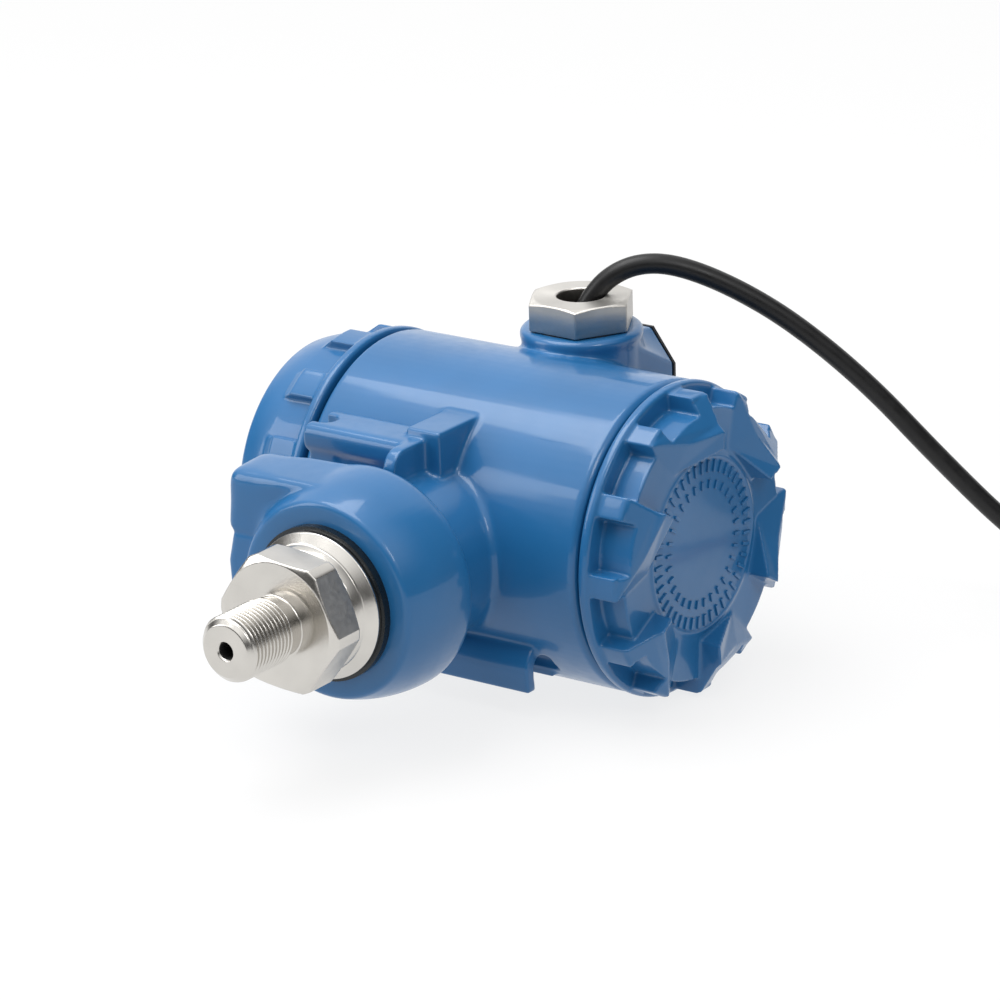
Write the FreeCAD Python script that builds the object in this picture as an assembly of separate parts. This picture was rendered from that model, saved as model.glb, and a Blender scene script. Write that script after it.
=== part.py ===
import FreeCAD, Part
import math
import os

# Pressure transmitter head: a cast housing with two screw covers, a steel process fitting and a cable.
# Lengths are millimetres, angles degrees.
# While it is drawn, X is the axis of the housing barrel (+X to the terminal cover), the process fitting
# points along -Y and the cable entry along +Z. Every solid is then moved so that the middle of the
# shoulder of the process thread is the origin.

V = FreeCAD.Vector

# Housing barrel, its two chambers and the wall between them
BODY_R = 39.5
TERMINAL_END = 45.1
DISPLAY_END = -39.0
BODY_EDGE = 1.2
MOUTH_R = 33.0
MOUTH_DEPTH = 14.0
CHAMBER_R = 31.0
WALL_LEFT = 9.5
WALL_RIGHT = 13.0

# Neck and bell that carry the process fitting
NECK_R = 21.5
BELL_R = 28.6
BELL_WIDEST = 60.5
BELL_ROUND = 5.0
BELL_FACE = 79.3
BELL_FACE_R = 25.2
BELL_EDGE = 1.4
NECK_FILLET = 2.0
SPIGOT_BORE_R = 15.0
SPIGOT_BORE_END = BELL_FACE - 27.3
PASSAGE_R = 8.5
NECK_ROOT = 23.0

# Cable entry boss, offset from the barrel axis away from the process, with a way for the cores
BOSS_X = 4.3
BOSS_Y = 25.0
BOSS_COLUMN_R = 15.3
BOSS_LIP_R = 15.7
BOSS_LIP_H = 2.4
BOSS_EDGE = 1.0
BOSS_RISE = 2.3
BOSS_TOP = BODY_R + BOSS_RISE
ENTRY_BORE_R = 10.0
ENTRY_BOTTOM = BOSS_TOP - 12.6
WAY_R = 4.0
WAY_START = V(BOSS_X + 2.0, BOSS_Y - 2.0, ENTRY_BOTTOM + 3.0)
WAY_END = V(20.0, 18.0, 20.0)

# Pad behind the boss, which narrows towards the plate on its back
PAD_HALF = 15.0
PAD_TOP_HALF = 8.5
PAD_TOP = BOSS_TOP - 4.5
PAD_SHOULDER = PAD_TOP - 8.8
PAD_BOTTOM = -28.0
PAD_STAND = 4.5
PAD_BACK = BODY_R + PAD_STAND
PAD_START = 28.0
PAD_START_RISE = 3.0
PAD_START_SHOULDER_RISE = 9.2
PAD_PLATE_LIP = 0.15
PAD_PLATE_T = 0.8

# Lugs and ribs cast on the neck
GUSSET_X = (-3.3, 6.7)
GUSSET_FRONT = 40.2
GUSSET_TOP = 32.0
RIB_X = (-1.1, 2.4)
RIB_TOP = 30.0
RIB_FLAT = 48.0
RIB_NOSE = 53.2
PLATE_X = (-30.8, 0.0)
PLATE_FRONT = 46.0
PLATE_BACK = 33.2
PLATE_TOP = 30.0
PLATE_BOTTOM = 22.5
PLATE_EDGE = 3.0
NOTCH_Y = (36.0, 42.0)
NOTCH_DEPTH = 5.0
FOOT_BOTTOM = 8.0
APRON_BOTTOM = 17.2
SIDE_LUG_END = -33.5
SIDE_LUG_Y = (58.0, 74.3)
SIDE_LUG_BOTTOM = 11.0
SIDE_LUG_TOP = (27.3, 26.5)
SIDE_LUG_MEET = 2.0
SIDE_LUG_EDGE = 2.5
CHEEK_Y = (56.0, 74.5)
CHEEK_EDGE = 1.5
CHEEK_CORNERS = ((-18.0, 11.0), (-31.8, 10.5), (-33.6, 3.0), (-33.2, -4.6), (-30.0, -10.0), (-18.0, -10.0))
HOOK_X = (-6.7, 28.2)
HOOK_Y = 29.5
HOOK_Z = 27.9
HOOK_OUTER = 7.2
HOOK_INNER = 3.9
HOOK_FOOT = 33.0
HOOK_HEEL = 32.0
HOOK_RUNOUT = 2.5

# Both covers, measured outwards from the back of their flange
SEAM_GAP = 1.0
FLANGE_R = 39.8
FLANGE_T = 2.8
RIDGE_COUNT = 12
SKIRT_LEN = 10.4
SKIRT_R = 32.9
SKIRT_BORE_R = 29.5
GROOVE_W = 2.8
GROOVE_R = 30.9
RING_SEAL_R = 0.98

# Terminal cover with its six raised grips
RIDGE_R = 38.7
POCKET_R = 34.4
POCKET_DEG = 21.0
FACE_X = 10.2
FACE_T = 5.0
BORDER_R = 22.4
BORDER_W = 0.8
BORDER_H = 0.35
GRIP_COUNT = 6
GRIP_FIRST_DEG = 15.0
GRIP_ROOT = 2.0
# Corners of one grip: degrees from its middle, radius, height over the face
GRIP_CORNERS = {
    "rim_low": (-19.3, 38.5, 0.3),
    "rim_high": (19.3, 38.5, 0.3),
    "foot_low": (-15.5, 25.0, 0.0),
    "foot_high": (20.0, 24.7, 0.0),
    "crest_low": (-4.0, 30.9, 3.0),
    "crest_high": (19.0, 29.8, 6.2),
    "crest_rim": (18.6, 31.6, 4.3),
    "inner_high": (19.6, 25.3, 5.9),
}
GRIP_FACES = (
    ("rim_low", "rim_high", "crest_rim"),
    ("rim_low", "crest_rim", "crest_low"),
    ("crest_low", "crest_rim", "crest_high"),
    ("foot_high", "inner_high", "crest_high"),
    ("foot_high", "crest_high", "crest_rim"),
    ("foot_high", "crest_rim", "rim_high"),
    ("foot_low", "crest_low", "crest_high"),
    ("foot_low", "crest_high", "inner_high"),
    ("foot_low", "inner_high", "foot_high"),
    ("rim_low", "crest_low", "foot_low"),
)
GRIP_BASE = ("rim_low", "foot_low", "foot_high", "rim_high")

# Display cover with its window
BARREL_R = 36.7
BARREL_TAPER = 0.3
BARREL_SHOULDER = 13.0
BARREL_TIP_R = 34.5
BARREL_BULGE = 0.3
BARREL_END = 22.6
BARREL_EDGE = 1.7
BAR_R = 39.0
BAR_END = 10.4
BAR_SLOPE = 5.5
BAR_ROOT = 2.0
BAR_DEG = 12.6
DISPLAY_PHASE = 5.75
WINDOW_R = 25.0
WINDOW_LIP_T = 3.8
WINDOW_GASKET_T = 1.0
GLASS_R = 29.0
GLASS_T = 6.0
WINDOW_RING_T = 4.0
WINDOW_RING_R = 29.4
WINDOW_RING_BORE_R = 25.5

# Process fitting, distances from the barrel axis towards the process
GASKET_T = 2.1
SPIGOT_R = 14.95
SPIGOT_END = BELL_FACE - 23.3
COLLAR_R = 18.7
COLLAR_BACK = BELL_FACE + GASKET_T
COLLAR_FRONT = COLLAR_BACK + 3.4
STEP_R = 17.0
HEX_BACK = COLLAR_FRONT + 3.2
SHOULDER = HEX_BACK + 10.0
HEX_FLATS = 32.0
HEX_TURN = -6.0
HEX_CHAMFER = 1.3
THREAD_R = 8.33
THREAD_LEN = 19.8
THREAD_TIP = 1.9
PORT_R = 2.0
PORT_SINK = 0.5
CELL_BORE_R = 10.0
CELL_BORE_END = COLLAR_FRONT - 0.8
SEAL_SLOT_IN = 6.0
SEAL_SLOT_OUT = 8.0
SEAL_SLOT_DEPTH = 1.4
GASKET_R = 19.5
GASKET_BORE_R = 15.3
FLAT_GAP = 0.05

# Sensor in the fitting
CELL_R = 9.7
CELL_T = 8.0
RETAINER_R = 9.92
RETAINER_BORE_R = 6.0
RETAINER_T = 6.0
SENSOR_WIRE_R = 0.45
SENSOR_WIRE_PITCH = 2.0
SENSOR_WIRE_COUNT = 4
SENSOR_WIRE_SPOT = 19.0
SENSOR_WIRE_LANDING = 5.0

# Circuit board and display module
BOARD_R = 27.0
BOARD_BACK = -12.0
BOARD_T = 1.6
POST_CIRCLE = 22.0
POST_R = 2.8
SCREW_SHANK_R = 1.25
SCREW_HOLE_R = 1.6
SCREW_HEAD_R = 2.6
SCREW_HEAD_T = 1.9
SCREW_BITE = 6.0
POST_BORE_R = 1.3
# Board parts: height over the board, then their limits along Y and Z
CHIPS = (
    (1.4, -12.0, -3.0, -4.0, 5.0),
    (1.2, 2.0, 8.0, 6.0, 11.0),
    (4.5, 1.0, 12.0, -13.0, -8.0),
)
CAN_R = 3.0
CAN_T = 7.0
CAN_Y = -6.0
CAN_Z = -12.0
DISPLAY_BACK = -28.0
DISPLAY_T = 8.0
DISPLAY_R = 25.0
PANEL_W = 34.0
PANEL_H = 20.0
PANEL_T = 2.4
PANEL_GAP = 0.3

# Terminal block and the sealed wires through the wall
BLOCK_W = 36.0
BLOCK_BOTTOM = -14.0
BLOCK_TOP = 10.0
BLOCK_T = 12.0
POLE_PITCH = 11.0
POLE_Z = 2.0
POLE_SLOT_W = 8.6
POLE_SLOT_T = 3.0
CLAMP_SIDE = 7.6
CLAMP_T = 1.2
POLE_SHANK_R = 1.9
POLE_BORE_R = 2.0
POLE_HEAD_R = 3.4
POLE_HEAD_T = 2.4
POLE_BITE = 6.0
FIX_Y = 14.5
FIX_Z = -9.6
FIX_SINK_R = 3.2
FIX_SINK_T = 2.6
FIX_BITE = 2.4
BUSH_R = 6.95
BUSH_BORE_R = 7.0
BUSH_FLANGE_R = 9.0
BUSH_FLANGE_T = 2.0
PIN_R = 0.6
PIN_BORE_R = 0.63
PIN_CIRCLE = 3.6
PIN_REACH = 4.0
EARTH_Y = 10.0
EARTH_Z = -22.5
EARTH_HEAD_R = 3.6
EARTH_HEAD_T = 2.6
EARTH_BITE = 3.0

# Cable gland
GLAND_FLATS = 24.9
GLAND_TURN = -1.7
GLAND_SEAL_T = 0.4
GLAND_SEAL_IN = 10.3
GLAND_SEAL_R = 12.2
GLAND_HEX_H = 7.5
GLAND_CHAMFER = 0.8
GLAND_SPIGOT_R = 9.92
GLAND_SPIGOT_END = BOSS_TOP - 11.8
GLAND_BORE_R = 6.15
GLAND_SINK = 1.2
POTTING_R = 6.12
POTTING_TOP = BOSS_TOP - 7.0

# Cable: steps along the picture's horizontal from the middle of the gland, then height
CABLE_R = 2.6
CABLE_HEADING = 36.0
CABLE_ROUTE = (
    (-1.0, POTTING_TOP),
    (-1.0, 41.5),
    (1.9, 48.1),
    (7.3, 54.4),
    (15.2, 57.6),
    (24.8, 56.7),
    (38.5, 50.6),
    (54.0, 40.4),
    (72.5, 23.6),
    (90.0, 3.4),
    (108.5, -16.5),
    (124.0, -28.8),
    (141.0, -32.9),
    (158.0, -32.9),
)
FLOOR_Z = -39.8
COIL_MID_R = 27.5
COIL_ENTRY_R = 32.5
COIL_WIDTH = 20.4
COIL_HEIGHT = 9.6
TIE_W = 3.6
TIE_T = 1.1
TIE_GAP = 0.3
TIE_DEG = 120.0
TAIL_R = 35.0
TAIL_DEG = -144.0
TAIL_LEN = 40.0
LEAD_R = 0.9
LEAD_LEN = 20.0
LEAD_SPREAD = 4.2
LEAD_BESIDE = 1.2
FERRULE_R = 1.0
FERRULE_LEN = 8.0
CORE_R = 0.75
CORE_BESIDE = 1.3
CORE_CLEAR = 0.6
CORE_BENDS = {
    -1.0: (V(26.5, 6.0, 17.5), V(25.5, -8.5, 15.0)),
    1.0: (V(24.4, 13.0, 15.0),),
}

RIGHT = V(1, 0, 0)
FRONT = V(0, -1, 0)
UP = V(0, 0, 1)


def radial(deg, r, x):
    """A point at an angle around the barrel axis, counted from the process side upwards."""
    a = math.radians(deg)
    return V(x, -r * math.cos(a), r * math.sin(a))


def outline(points, place):
    """A closed wire through (along, radius) points; four numbers are an arc's middle and its end."""
    edges = []
    start = place(*points[0])
    for item in points[1:]:
        end = place(*item[-2:])
        if len(item) == 4:
            edges.append(Part.Arc(start, place(*item[:2]), end).toShape())
        else:
            edges.append(Part.makeLine(start, end))
        start = end
    first = place(*points[0])
    if start.distanceToPoint(first) > 1e-6:
        edges.append(Part.makeLine(start, first))
    return Part.Wire(edges)


def turned_x(points):
    """A solid turned about the barrel axis."""
    face = Part.Face(outline(points, lambda a, r: V(a, r, 0)))
    return face.revolve(V(0, 0, 0), RIGHT, 360)


def turned_y(points):
    """A solid turned about the neck axis; distances count towards the process."""
    face = Part.Face(outline(points, lambda a, r: V(r, -a, 0)))
    return face.revolve(V(0, 0, 0), FRONT, 360)


def turned_z(points, x=0.0, y=0.0):
    """A solid turned about an upright axis."""
    face = Part.Face(outline(points, lambda a, r: V(x + r, y, a)))
    return face.revolve(V(x, y, 0), UP, 360)


def rod(r, start, end):
    """A round bar between two points."""
    way = end - start
    return Part.makeCylinder(r, way.Length, start, way)


def block(x0, x1, y0, y1, z0, z1):
    """A box between the given limits."""
    return Part.makeBox(x1 - x0, y1 - y0, z1 - z0, V(x0, y0, z0))


def prism(points, way):
    """A straight extrusion of a closed outline of three-number points."""
    return Part.Face(Part.makePolygon([*points, points[0]])).extrude(way)


def along_x(points, x0, x1):
    """A section given as (towards the process, up) points, drawn out from x0 to x1."""
    face = Part.Face(outline(points, lambda a, z: V(x0, -a, z)))
    return face.extrude(V(x1 - x0, 0, 0))


def corner_arc(cy, cz, r, deg):
    """Middle of a rounding, as a point of a section."""
    a = math.radians(deg)
    return (cy + r * math.cos(a), cz + r * math.sin(a))


def ring_edges(shape, test):
    """Edges of a shape whose every sampled point passes a test."""
    found = []
    for edge in shape.Edges:
        first, last = edge.ParameterRange
        steps = [first + (last - first) * k / 8.0 for k in range(9)]
        if all(test(edge.valueAt(t)) for t in steps):
            found.append(edge)
    return found


def hexagon(flats, turn, place, way):
    """A hexagonal bar; place maps two section coordinates to a point."""
    r = flats / math.sqrt(3.0)
    points = []
    for k in range(6):
        a = math.radians(turn + 60.0 * k)
        points.append(place(r * math.cos(a), r * math.sin(a)))
    return prism(points, way)


def tube(points, r):
    """A round cord along straight runs and tangent arcs; also gives its length and bend radii."""
    edges = []
    radii = []
    here = points[0]
    for k in range(1, len(points) - 1):
        back = points[k - 1] - points[k]
        ahead = points[k + 1] - points[k]
        half_turn = (math.pi - back.getAngle(ahead)) / 2.0
        reach = 0.45 * min(back.Length, ahead.Length)
        bend = reach / math.tan(half_turn)
        back.normalize()
        ahead.normalize()
        enter = points[k] + back * reach
        leave = points[k] + ahead * reach
        middle = back + ahead
        middle.normalize()
        top = points[k] + middle * (bend / math.cos(half_turn) - bend)
        edges.append(Part.makeLine(here, enter))
        edges.append(Part.Arc(enter, top, leave).toShape())
        radii.append(bend)
        here = leave
    edges.append(Part.makeLine(here, points[-1]))
    path = Part.Wire(edges)
    section = Part.Wire([Part.makeCircle(r, points[0], points[1] - points[0])])
    solid = path.makePipeShell([section], True, False)
    return solid, path.Length, radii


def housing():
    """The casting: barrel, neck with its bell, cable boss, lugs, and the chambers cut into it."""
    barrel = turned_x([
        (DISPLAY_END, 0),
        (DISPLAY_END, BODY_R - BODY_EDGE),
        (DISPLAY_END + BODY_EDGE, BODY_R),
        (TERMINAL_END - BODY_EDGE, BODY_R),
        (TERMINAL_END, BODY_R - BODY_EDGE),
        (TERMINAL_END, 0),
    ])
    toe = BELL_R - BELL_ROUND - NECK_R
    heel = BELL_WIDEST - BELL_ROUND
    near = 1.0 - math.sqrt(0.5)
    far = math.sqrt(0.5)
    lip = BELL_FACE - BELL_EDGE
    front_run = lip - BELL_WIDEST
    front_sweep = bell_sweep()
    front_half = math.asin(front_run / front_sweep) / 2.0
    front_lift = front_sweep * (1.0 - math.cos(front_half))
    front_slide = front_sweep * math.sin(front_half)
    neck = turned_y([
        (NECK_ROOT, 0),
        (NECK_ROOT, NECK_R),
        (heel - toe, NECK_R),
        (heel - near * toe, NECK_R + near * toe, heel, NECK_R + toe),
        (heel + near * BELL_ROUND, NECK_R + toe + far * BELL_ROUND, BELL_WIDEST, BELL_R),
        (BELL_WIDEST + front_slide, BELL_R - front_lift, lip, BELL_FACE_R),
        (BELL_FACE - 0.3 * BELL_EDGE, BELL_FACE_R - 0.4 * BELL_EDGE, BELL_FACE, BELL_FACE_R - BELL_EDGE),
        (BELL_FACE, 0),
    ])
    under_lip = BOSS_TOP - BOSS_LIP_H
    boss = turned_z([
        (NECK_ROOT, 0),
        (NECK_ROOT, BOSS_COLUMN_R),
        (under_lip - BOSS_EDGE, BOSS_COLUMN_R),
        (under_lip, BOSS_LIP_R),
        (BOSS_TOP - BOSS_EDGE, BOSS_LIP_R),
        (BOSS_TOP, BOSS_LIP_R - BOSS_EDGE),
        (BOSS_TOP, 0),
    ], BOSS_X, BOSS_Y)

    def on_barrel(p):
        return abs(math.hypot(p.y, p.z) - BODY_R) < 0.01

    shell = barrel.fuse([neck, boss])
    shell = shell.makeFillet(NECK_FILLET, ring_edges(
        shell, lambda p: on_barrel(p) and abs(math.hypot(p.x, p.z) - NECK_R) < 0.01))
    shell = shell.fuse(neck_lugs() + [rear_pad()])
    cuts = [
        turned_x([
            (DISPLAY_END - 1.0, 0),
            (DISPLAY_END - 1.0, MOUTH_R),
            (DISPLAY_END + MOUTH_DEPTH, MOUTH_R),
            (DISPLAY_END + MOUTH_DEPTH, CHAMBER_R),
            (WALL_LEFT, CHAMBER_R),
            (WALL_LEFT, 0),
        ]),
        turned_x([
            (TERMINAL_END + 1.0, 0),
            (TERMINAL_END + 1.0, MOUTH_R),
            (TERMINAL_END - MOUTH_DEPTH, MOUTH_R),
            (TERMINAL_END - MOUTH_DEPTH, CHAMBER_R),
            (WALL_RIGHT, CHAMBER_R),
            (WALL_RIGHT, 0),
        ]),
        turned_y([
            (BELL_FACE + 1.0, 0),
            (BELL_FACE + 1.0, SPIGOT_BORE_R),
            (SPIGOT_BORE_END, SPIGOT_BORE_R),
            (SPIGOT_BORE_END, PASSAGE_R),
            (CHAMBER_R - 6.0, PASSAGE_R),
            (CHAMBER_R - 6.0, 0),
        ]),
        rod(ENTRY_BORE_R, on_boss(ENTRY_BOTTOM), on_boss(BOSS_TOP + 1.0)),
        rod(WAY_R, WAY_START, WAY_END),
        rod(HOOK_INNER, V(HOOK_X[0], -HOOK_Y, -HOOK_Z), V(HOOK_X[1] + HOOK_RUNOUT, -HOOK_Y, -HOOK_Z)),
        rod(BUSH_BORE_R, V(WALL_LEFT - 1.0, 0, 0), V(WALL_RIGHT + 1.0, 0, 0)),
        rod(POLE_BORE_R, V(WALL_RIGHT - EARTH_BITE, EARTH_Y, EARTH_Z), V(WALL_RIGHT + 1.0, EARTH_Y, EARTH_Z)),
    ]
    cuts += [rod(POST_BORE_R, V(WALL_RIGHT - FIX_BITE, y, FIX_Z), V(WALL_RIGHT + 1.0, y, FIX_Z))
             for y in (-FIX_Y, FIX_Y)]
    return shell.cut(cuts)


def bell_sweep():
    """Radius of the arc from the bell's widest place to its lip."""
    taper = BELL_R - BELL_FACE_R
    run = BELL_FACE - BELL_EDGE - BELL_WIDEST
    return (taper * taper + run * run) / (2.0 * taper)


def bell_radius(out):
    """Radius of the bell near its widest place and in front of it."""
    sweep = bell_sweep()
    return BELL_R - sweep + math.sqrt(sweep * sweep - (out - BELL_WIDEST) ** 2)


def on_boss(z):
    """A point of the axis of the cable entry."""
    return V(BOSS_X, BOSS_Y, z)


def neck_lugs():
    """Gusset, rib, slotted plate, side lug with its shoulder, cheek and hook on the neck."""
    gusset = along_x([
        (CHAMBER_R - 9.0, RIB_TOP / 2.0),
        (CHAMBER_R - 9.0, GUSSET_TOP),
        (GUSSET_FRONT - 1.0, GUSSET_TOP),
        corner_arc(GUSSET_FRONT - 1.0, GUSSET_TOP - 1.0, 1.0, 45) + (GUSSET_FRONT, GUSSET_TOP - 1.0),
        (GUSSET_FRONT, RIB_TOP / 2.0),
    ], *GUSSET_X)
    nose = RIB_NOSE - RIB_FLAT
    rib = along_x([
        (CHAMBER_R, RIB_TOP / 2.0),
        (CHAMBER_R, RIB_TOP),
        (RIB_FLAT, RIB_TOP),
        corner_arc(RIB_FLAT, RIB_TOP - nose, nose, 45) + (RIB_NOSE, RIB_TOP - nose),
        (RIB_NOSE, RIB_TOP / 2.0),
    ], *RIB_X)
    middle = (PLATE_TOP + PLATE_BOTTOM) / 2.0
    plate = along_x([
        (PLATE_BACK, PLATE_BOTTOM),
        (PLATE_BACK, PLATE_TOP),
        (PLATE_FRONT - PLATE_EDGE, PLATE_TOP),
        corner_arc(PLATE_FRONT - PLATE_EDGE, PLATE_TOP - PLATE_EDGE, PLATE_EDGE, 45)
        + (PLATE_FRONT, PLATE_TOP - PLATE_EDGE),
        (PLATE_FRONT, PLATE_BOTTOM + PLATE_EDGE),
        corner_arc(PLATE_FRONT - PLATE_EDGE, PLATE_BOTTOM + PLATE_EDGE, PLATE_EDGE, -45)
        + (PLATE_FRONT - PLATE_EDGE, PLATE_BOTTOM),
    ], *PLATE_X)
    notch_r = (NOTCH_Y[1] - NOTCH_Y[0]) / 2.0
    notch_y = -(NOTCH_Y[0] + NOTCH_Y[1]) / 2.0
    notch_x = PLATE_X[0] + NOTCH_DEPTH - notch_r
    notch = rod(notch_r, V(notch_x, notch_y, 0), V(notch_x, notch_y, GUSSET_TOP + 5.0))
    mouth = block(PLATE_X[0] - 5.0, notch_x, -NOTCH_Y[1], -NOTCH_Y[0], 0, GUSSET_TOP + 5.0)
    plate = plate.cut([notch, mouth])
    held_x = PLATE_X[0] + NOTCH_DEPTH + 4.0
    web = block(held_x, PLATE_X[1], -PLATE_BACK - 1.0, 6.0 - CHAMBER_R, PLATE_BOTTOM - 6.0, middle)
    foot = block(held_x, PLATE_X[1], 1.5 - PLATE_FRONT, -PLATE_BACK - 1.0, FOOT_BOTTOM, middle)
    apron = block(PLATE_X[0] + 1.0, held_x, 1.0 - PLATE_FRONT, -NOTCH_Y[1] - 0.4, APRON_BOTTOM, middle)

    ends = []
    for out, top in zip(SIDE_LUG_Y, SIDE_LUG_TOP):
        meet = math.sqrt(bell_radius(out) ** 2 - SIDE_LUG_MEET ** 2)
        corners = ((SIDE_LUG_END, SIDE_LUG_BOTTOM), (SIDE_LUG_END, top), (-SIDE_LUG_MEET, meet),
                   (0.0, SIDE_LUG_BOTTOM))
        points = [V(x, -out, z) for x, z in corners]
        ends.append(Part.makePolygon([*points, points[0]]))
    side = Part.makeLoft(ends, True, True)
    side = side.makeFillet(SIDE_LUG_EDGE, [e for e in side.Edges if e.CenterOfMass.x < SIDE_LUG_END + 0.1 or
                                           (e.CenterOfMass.x < -SIDE_LUG_MEET - 0.1
                                            and e.CenterOfMass.z > SIDE_LUG_BOTTOM + 0.1)])

    corners = [V(x, -CHEEK_Y[0], z) for x, z in CHEEK_CORNERS]
    cheek = prism(corners, V(0, CHEEK_Y[0] - CHEEK_Y[1], 0))
    cheek = cheek.makeFillet(CHEEK_EDGE, [e for e in cheek.Edges if abs(e.BoundBox.YMax + CHEEK_Y[1]) < 0.01
                                          and e.CenterOfMass.x < CHEEK_CORNERS[0][0] - 0.01])

    hook = along_x([
        (HOOK_Y + HOOK_OUTER, -HOOK_Z),
        (HOOK_Y + HOOK_OUTER - 0.4, -HOOK_FOOT),
        (HOOK_Y + HOOK_INNER - 0.4, -HOOK_FOOT),
        (HOOK_Y + HOOK_INNER, -HOOK_Z),
        (HOOK_Y, HOOK_INNER - HOOK_Z, HOOK_Y - HOOK_INNER, -HOOK_Z),
        (HOOK_Y - HOOK_INNER, -HOOK_HEEL),
        (HOOK_Y - HOOK_OUTER, -HOOK_HEEL),
        (HOOK_Y - HOOK_OUTER, -HOOK_Z),
        (HOOK_Y, HOOK_OUTER - HOOK_Z, HOOK_Y + HOOK_OUTER, -HOOK_Z),
    ], *HOOK_X)
    return [gusset, rib, plate, web, foot, apron, side, cheek, hook]


def pad_outline(y, half, top_half, shoulder, top):
    """Outline of the rear pad at one distance behind the barrel axis."""
    points = [
        V(BOSS_X - half, y, PAD_BOTTOM),
        V(BOSS_X - half, y, shoulder),
        V(BOSS_X - top_half, y, top),
        V(BOSS_X + top_half, y, top),
        V(BOSS_X + half, y, shoulder),
        V(BOSS_X + half, y, PAD_BOTTOM),
    ]
    return Part.makePolygon([*points, points[0]])


def rear_pad():
    """The pad behind the boss: tall beside the boss and lower at its back."""
    front = pad_outline(PAD_START, PAD_HALF, PAD_TOP_HALF, PAD_SHOULDER + PAD_START_SHOULDER_RISE,
                        PAD_TOP + PAD_START_RISE)
    back = pad_outline(PAD_BACK, PAD_HALF, PAD_TOP_HALF, PAD_SHOULDER, PAD_TOP)
    return Part.makeLoft([front, back], True, True)


def rear_plate():
    """Thin bare plate on the back of the pad."""
    lip = PAD_PLATE_LIP
    edge = pad_outline(PAD_BACK, PAD_HALF + lip, PAD_TOP_HALF + lip, PAD_SHOULDER, PAD_TOP + lip)
    return Part.Face(edge).extrude(V(0, PAD_PLATE_T, 0))


def pocket(deg, width, x0, x1, r0, r1, r_end):
    """A sector of a ring, used to cut the finger pockets of a cover; its floor runs from r0 to r_end."""
    corners = [(x0, r0), (x0, r1), (x1, r1), (x1, r_end)]
    face = Part.Face(outline(corners, lambda x, r: radial(deg - width / 2.0, r, x)))
    return face.revolve(V(0, 0, 0), V(-1, 0, 0), width)


def cover_blank(profile, inner_end, inner_r):
    """A cover body with its threaded skirt, bored out from behind and grooved for its seal."""
    body = turned_x([
        (-SKIRT_LEN, 0),
        (-SKIRT_LEN, SKIRT_R),
        (-GROOVE_W, SKIRT_R),
        (-GROOVE_W, GROOVE_R),
        (0, GROOVE_R),
        (0, FLANGE_R - 0.6),
        (0.6, FLANGE_R),
        (FLANGE_T - 0.6, FLANGE_R),
    ] + profile)
    return body.cut(rod(inner_r, V(-SKIRT_LEN - 1.0, 0, 0), V(inner_end, 0, 0)))


def grip(deg):
    """One raised grip of the terminal cover, rooted below the face."""
    top = {}
    root = {}
    for name, (turn, r, h) in GRIP_CORNERS.items():
        top[name] = radial(deg + turn, r, FACE_X + h)
        root[name] = radial(deg + turn, r, FACE_X - GRIP_ROOT)
    faces = [[top[n] for n in names] for names in GRIP_FACES]
    faces.append([root[n] for n in reversed(GRIP_BASE)])
    for a, b in zip(GRIP_BASE, GRIP_BASE[1:] + GRIP_BASE[:1]):
        faces.append([top[a], top[b], root[b]])
        faces.append([top[a], root[b], root[a]])
    shell = Part.Shell([Part.Face(Part.makePolygon([*f, f[0]])) for f in faces])
    solid = Part.Solid(shell)
    if solid.Volume < 0:
        solid.reverse()
    return solid


def terminal_cover():
    """Cover with twelve ridges and six grips, seen from the front in the photograph."""
    body = cover_blank([
        (FLANGE_T, FLANGE_R - 0.6),
        (FLANGE_T, RIDGE_R),
        (FACE_X - 0.6, RIDGE_R),
        (FACE_X, RIDGE_R - 0.6),
        (FACE_X, 0),
    ], FACE_X - FACE_T, SKIRT_BORE_R)
    step = 360.0 / GRIP_COUNT
    body = body.fuse([grip(GRIP_FIRST_DEG + step * k) for k in range(GRIP_COUNT)])
    step = 360.0 / RIDGE_COUNT
    body = body.cut([pocket(step * (k + 0.5), POCKET_DEG, FLANGE_T, FACE_X + 12.0, POCKET_R,
                            FLANGE_R + 5.0, POCKET_R) for k in range(RIDGE_COUNT)])
    border = rod(BORDER_R + BORDER_W / 2.0, V(FACE_X - 0.5, 0, 0), V(FACE_X + BORDER_H, 0, 0))
    border = border.cut(rod(BORDER_R - BORDER_W / 2.0, V(FACE_X - 1.0, 0, 0), V(FACE_X + 1.0, 0, 0)))
    return body.fuse(border).removeSplitter()


def bar(deg):
    """A raised bar beside the flange of the display cover, with a sloping end."""
    root = BARREL_R - BAR_ROOT
    start = FLANGE_T - BAR_ROOT
    corners = [(start, root), (start, BAR_R), (BAR_END, BAR_R), (BAR_END + BAR_SLOPE, root)]
    face = Part.Face(outline(corners, lambda x, r: radial(deg - BAR_DEG / 2.0, r, x)))
    return face.revolve(V(0, 0, 0), V(-1, 0, 0), BAR_DEG)


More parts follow.
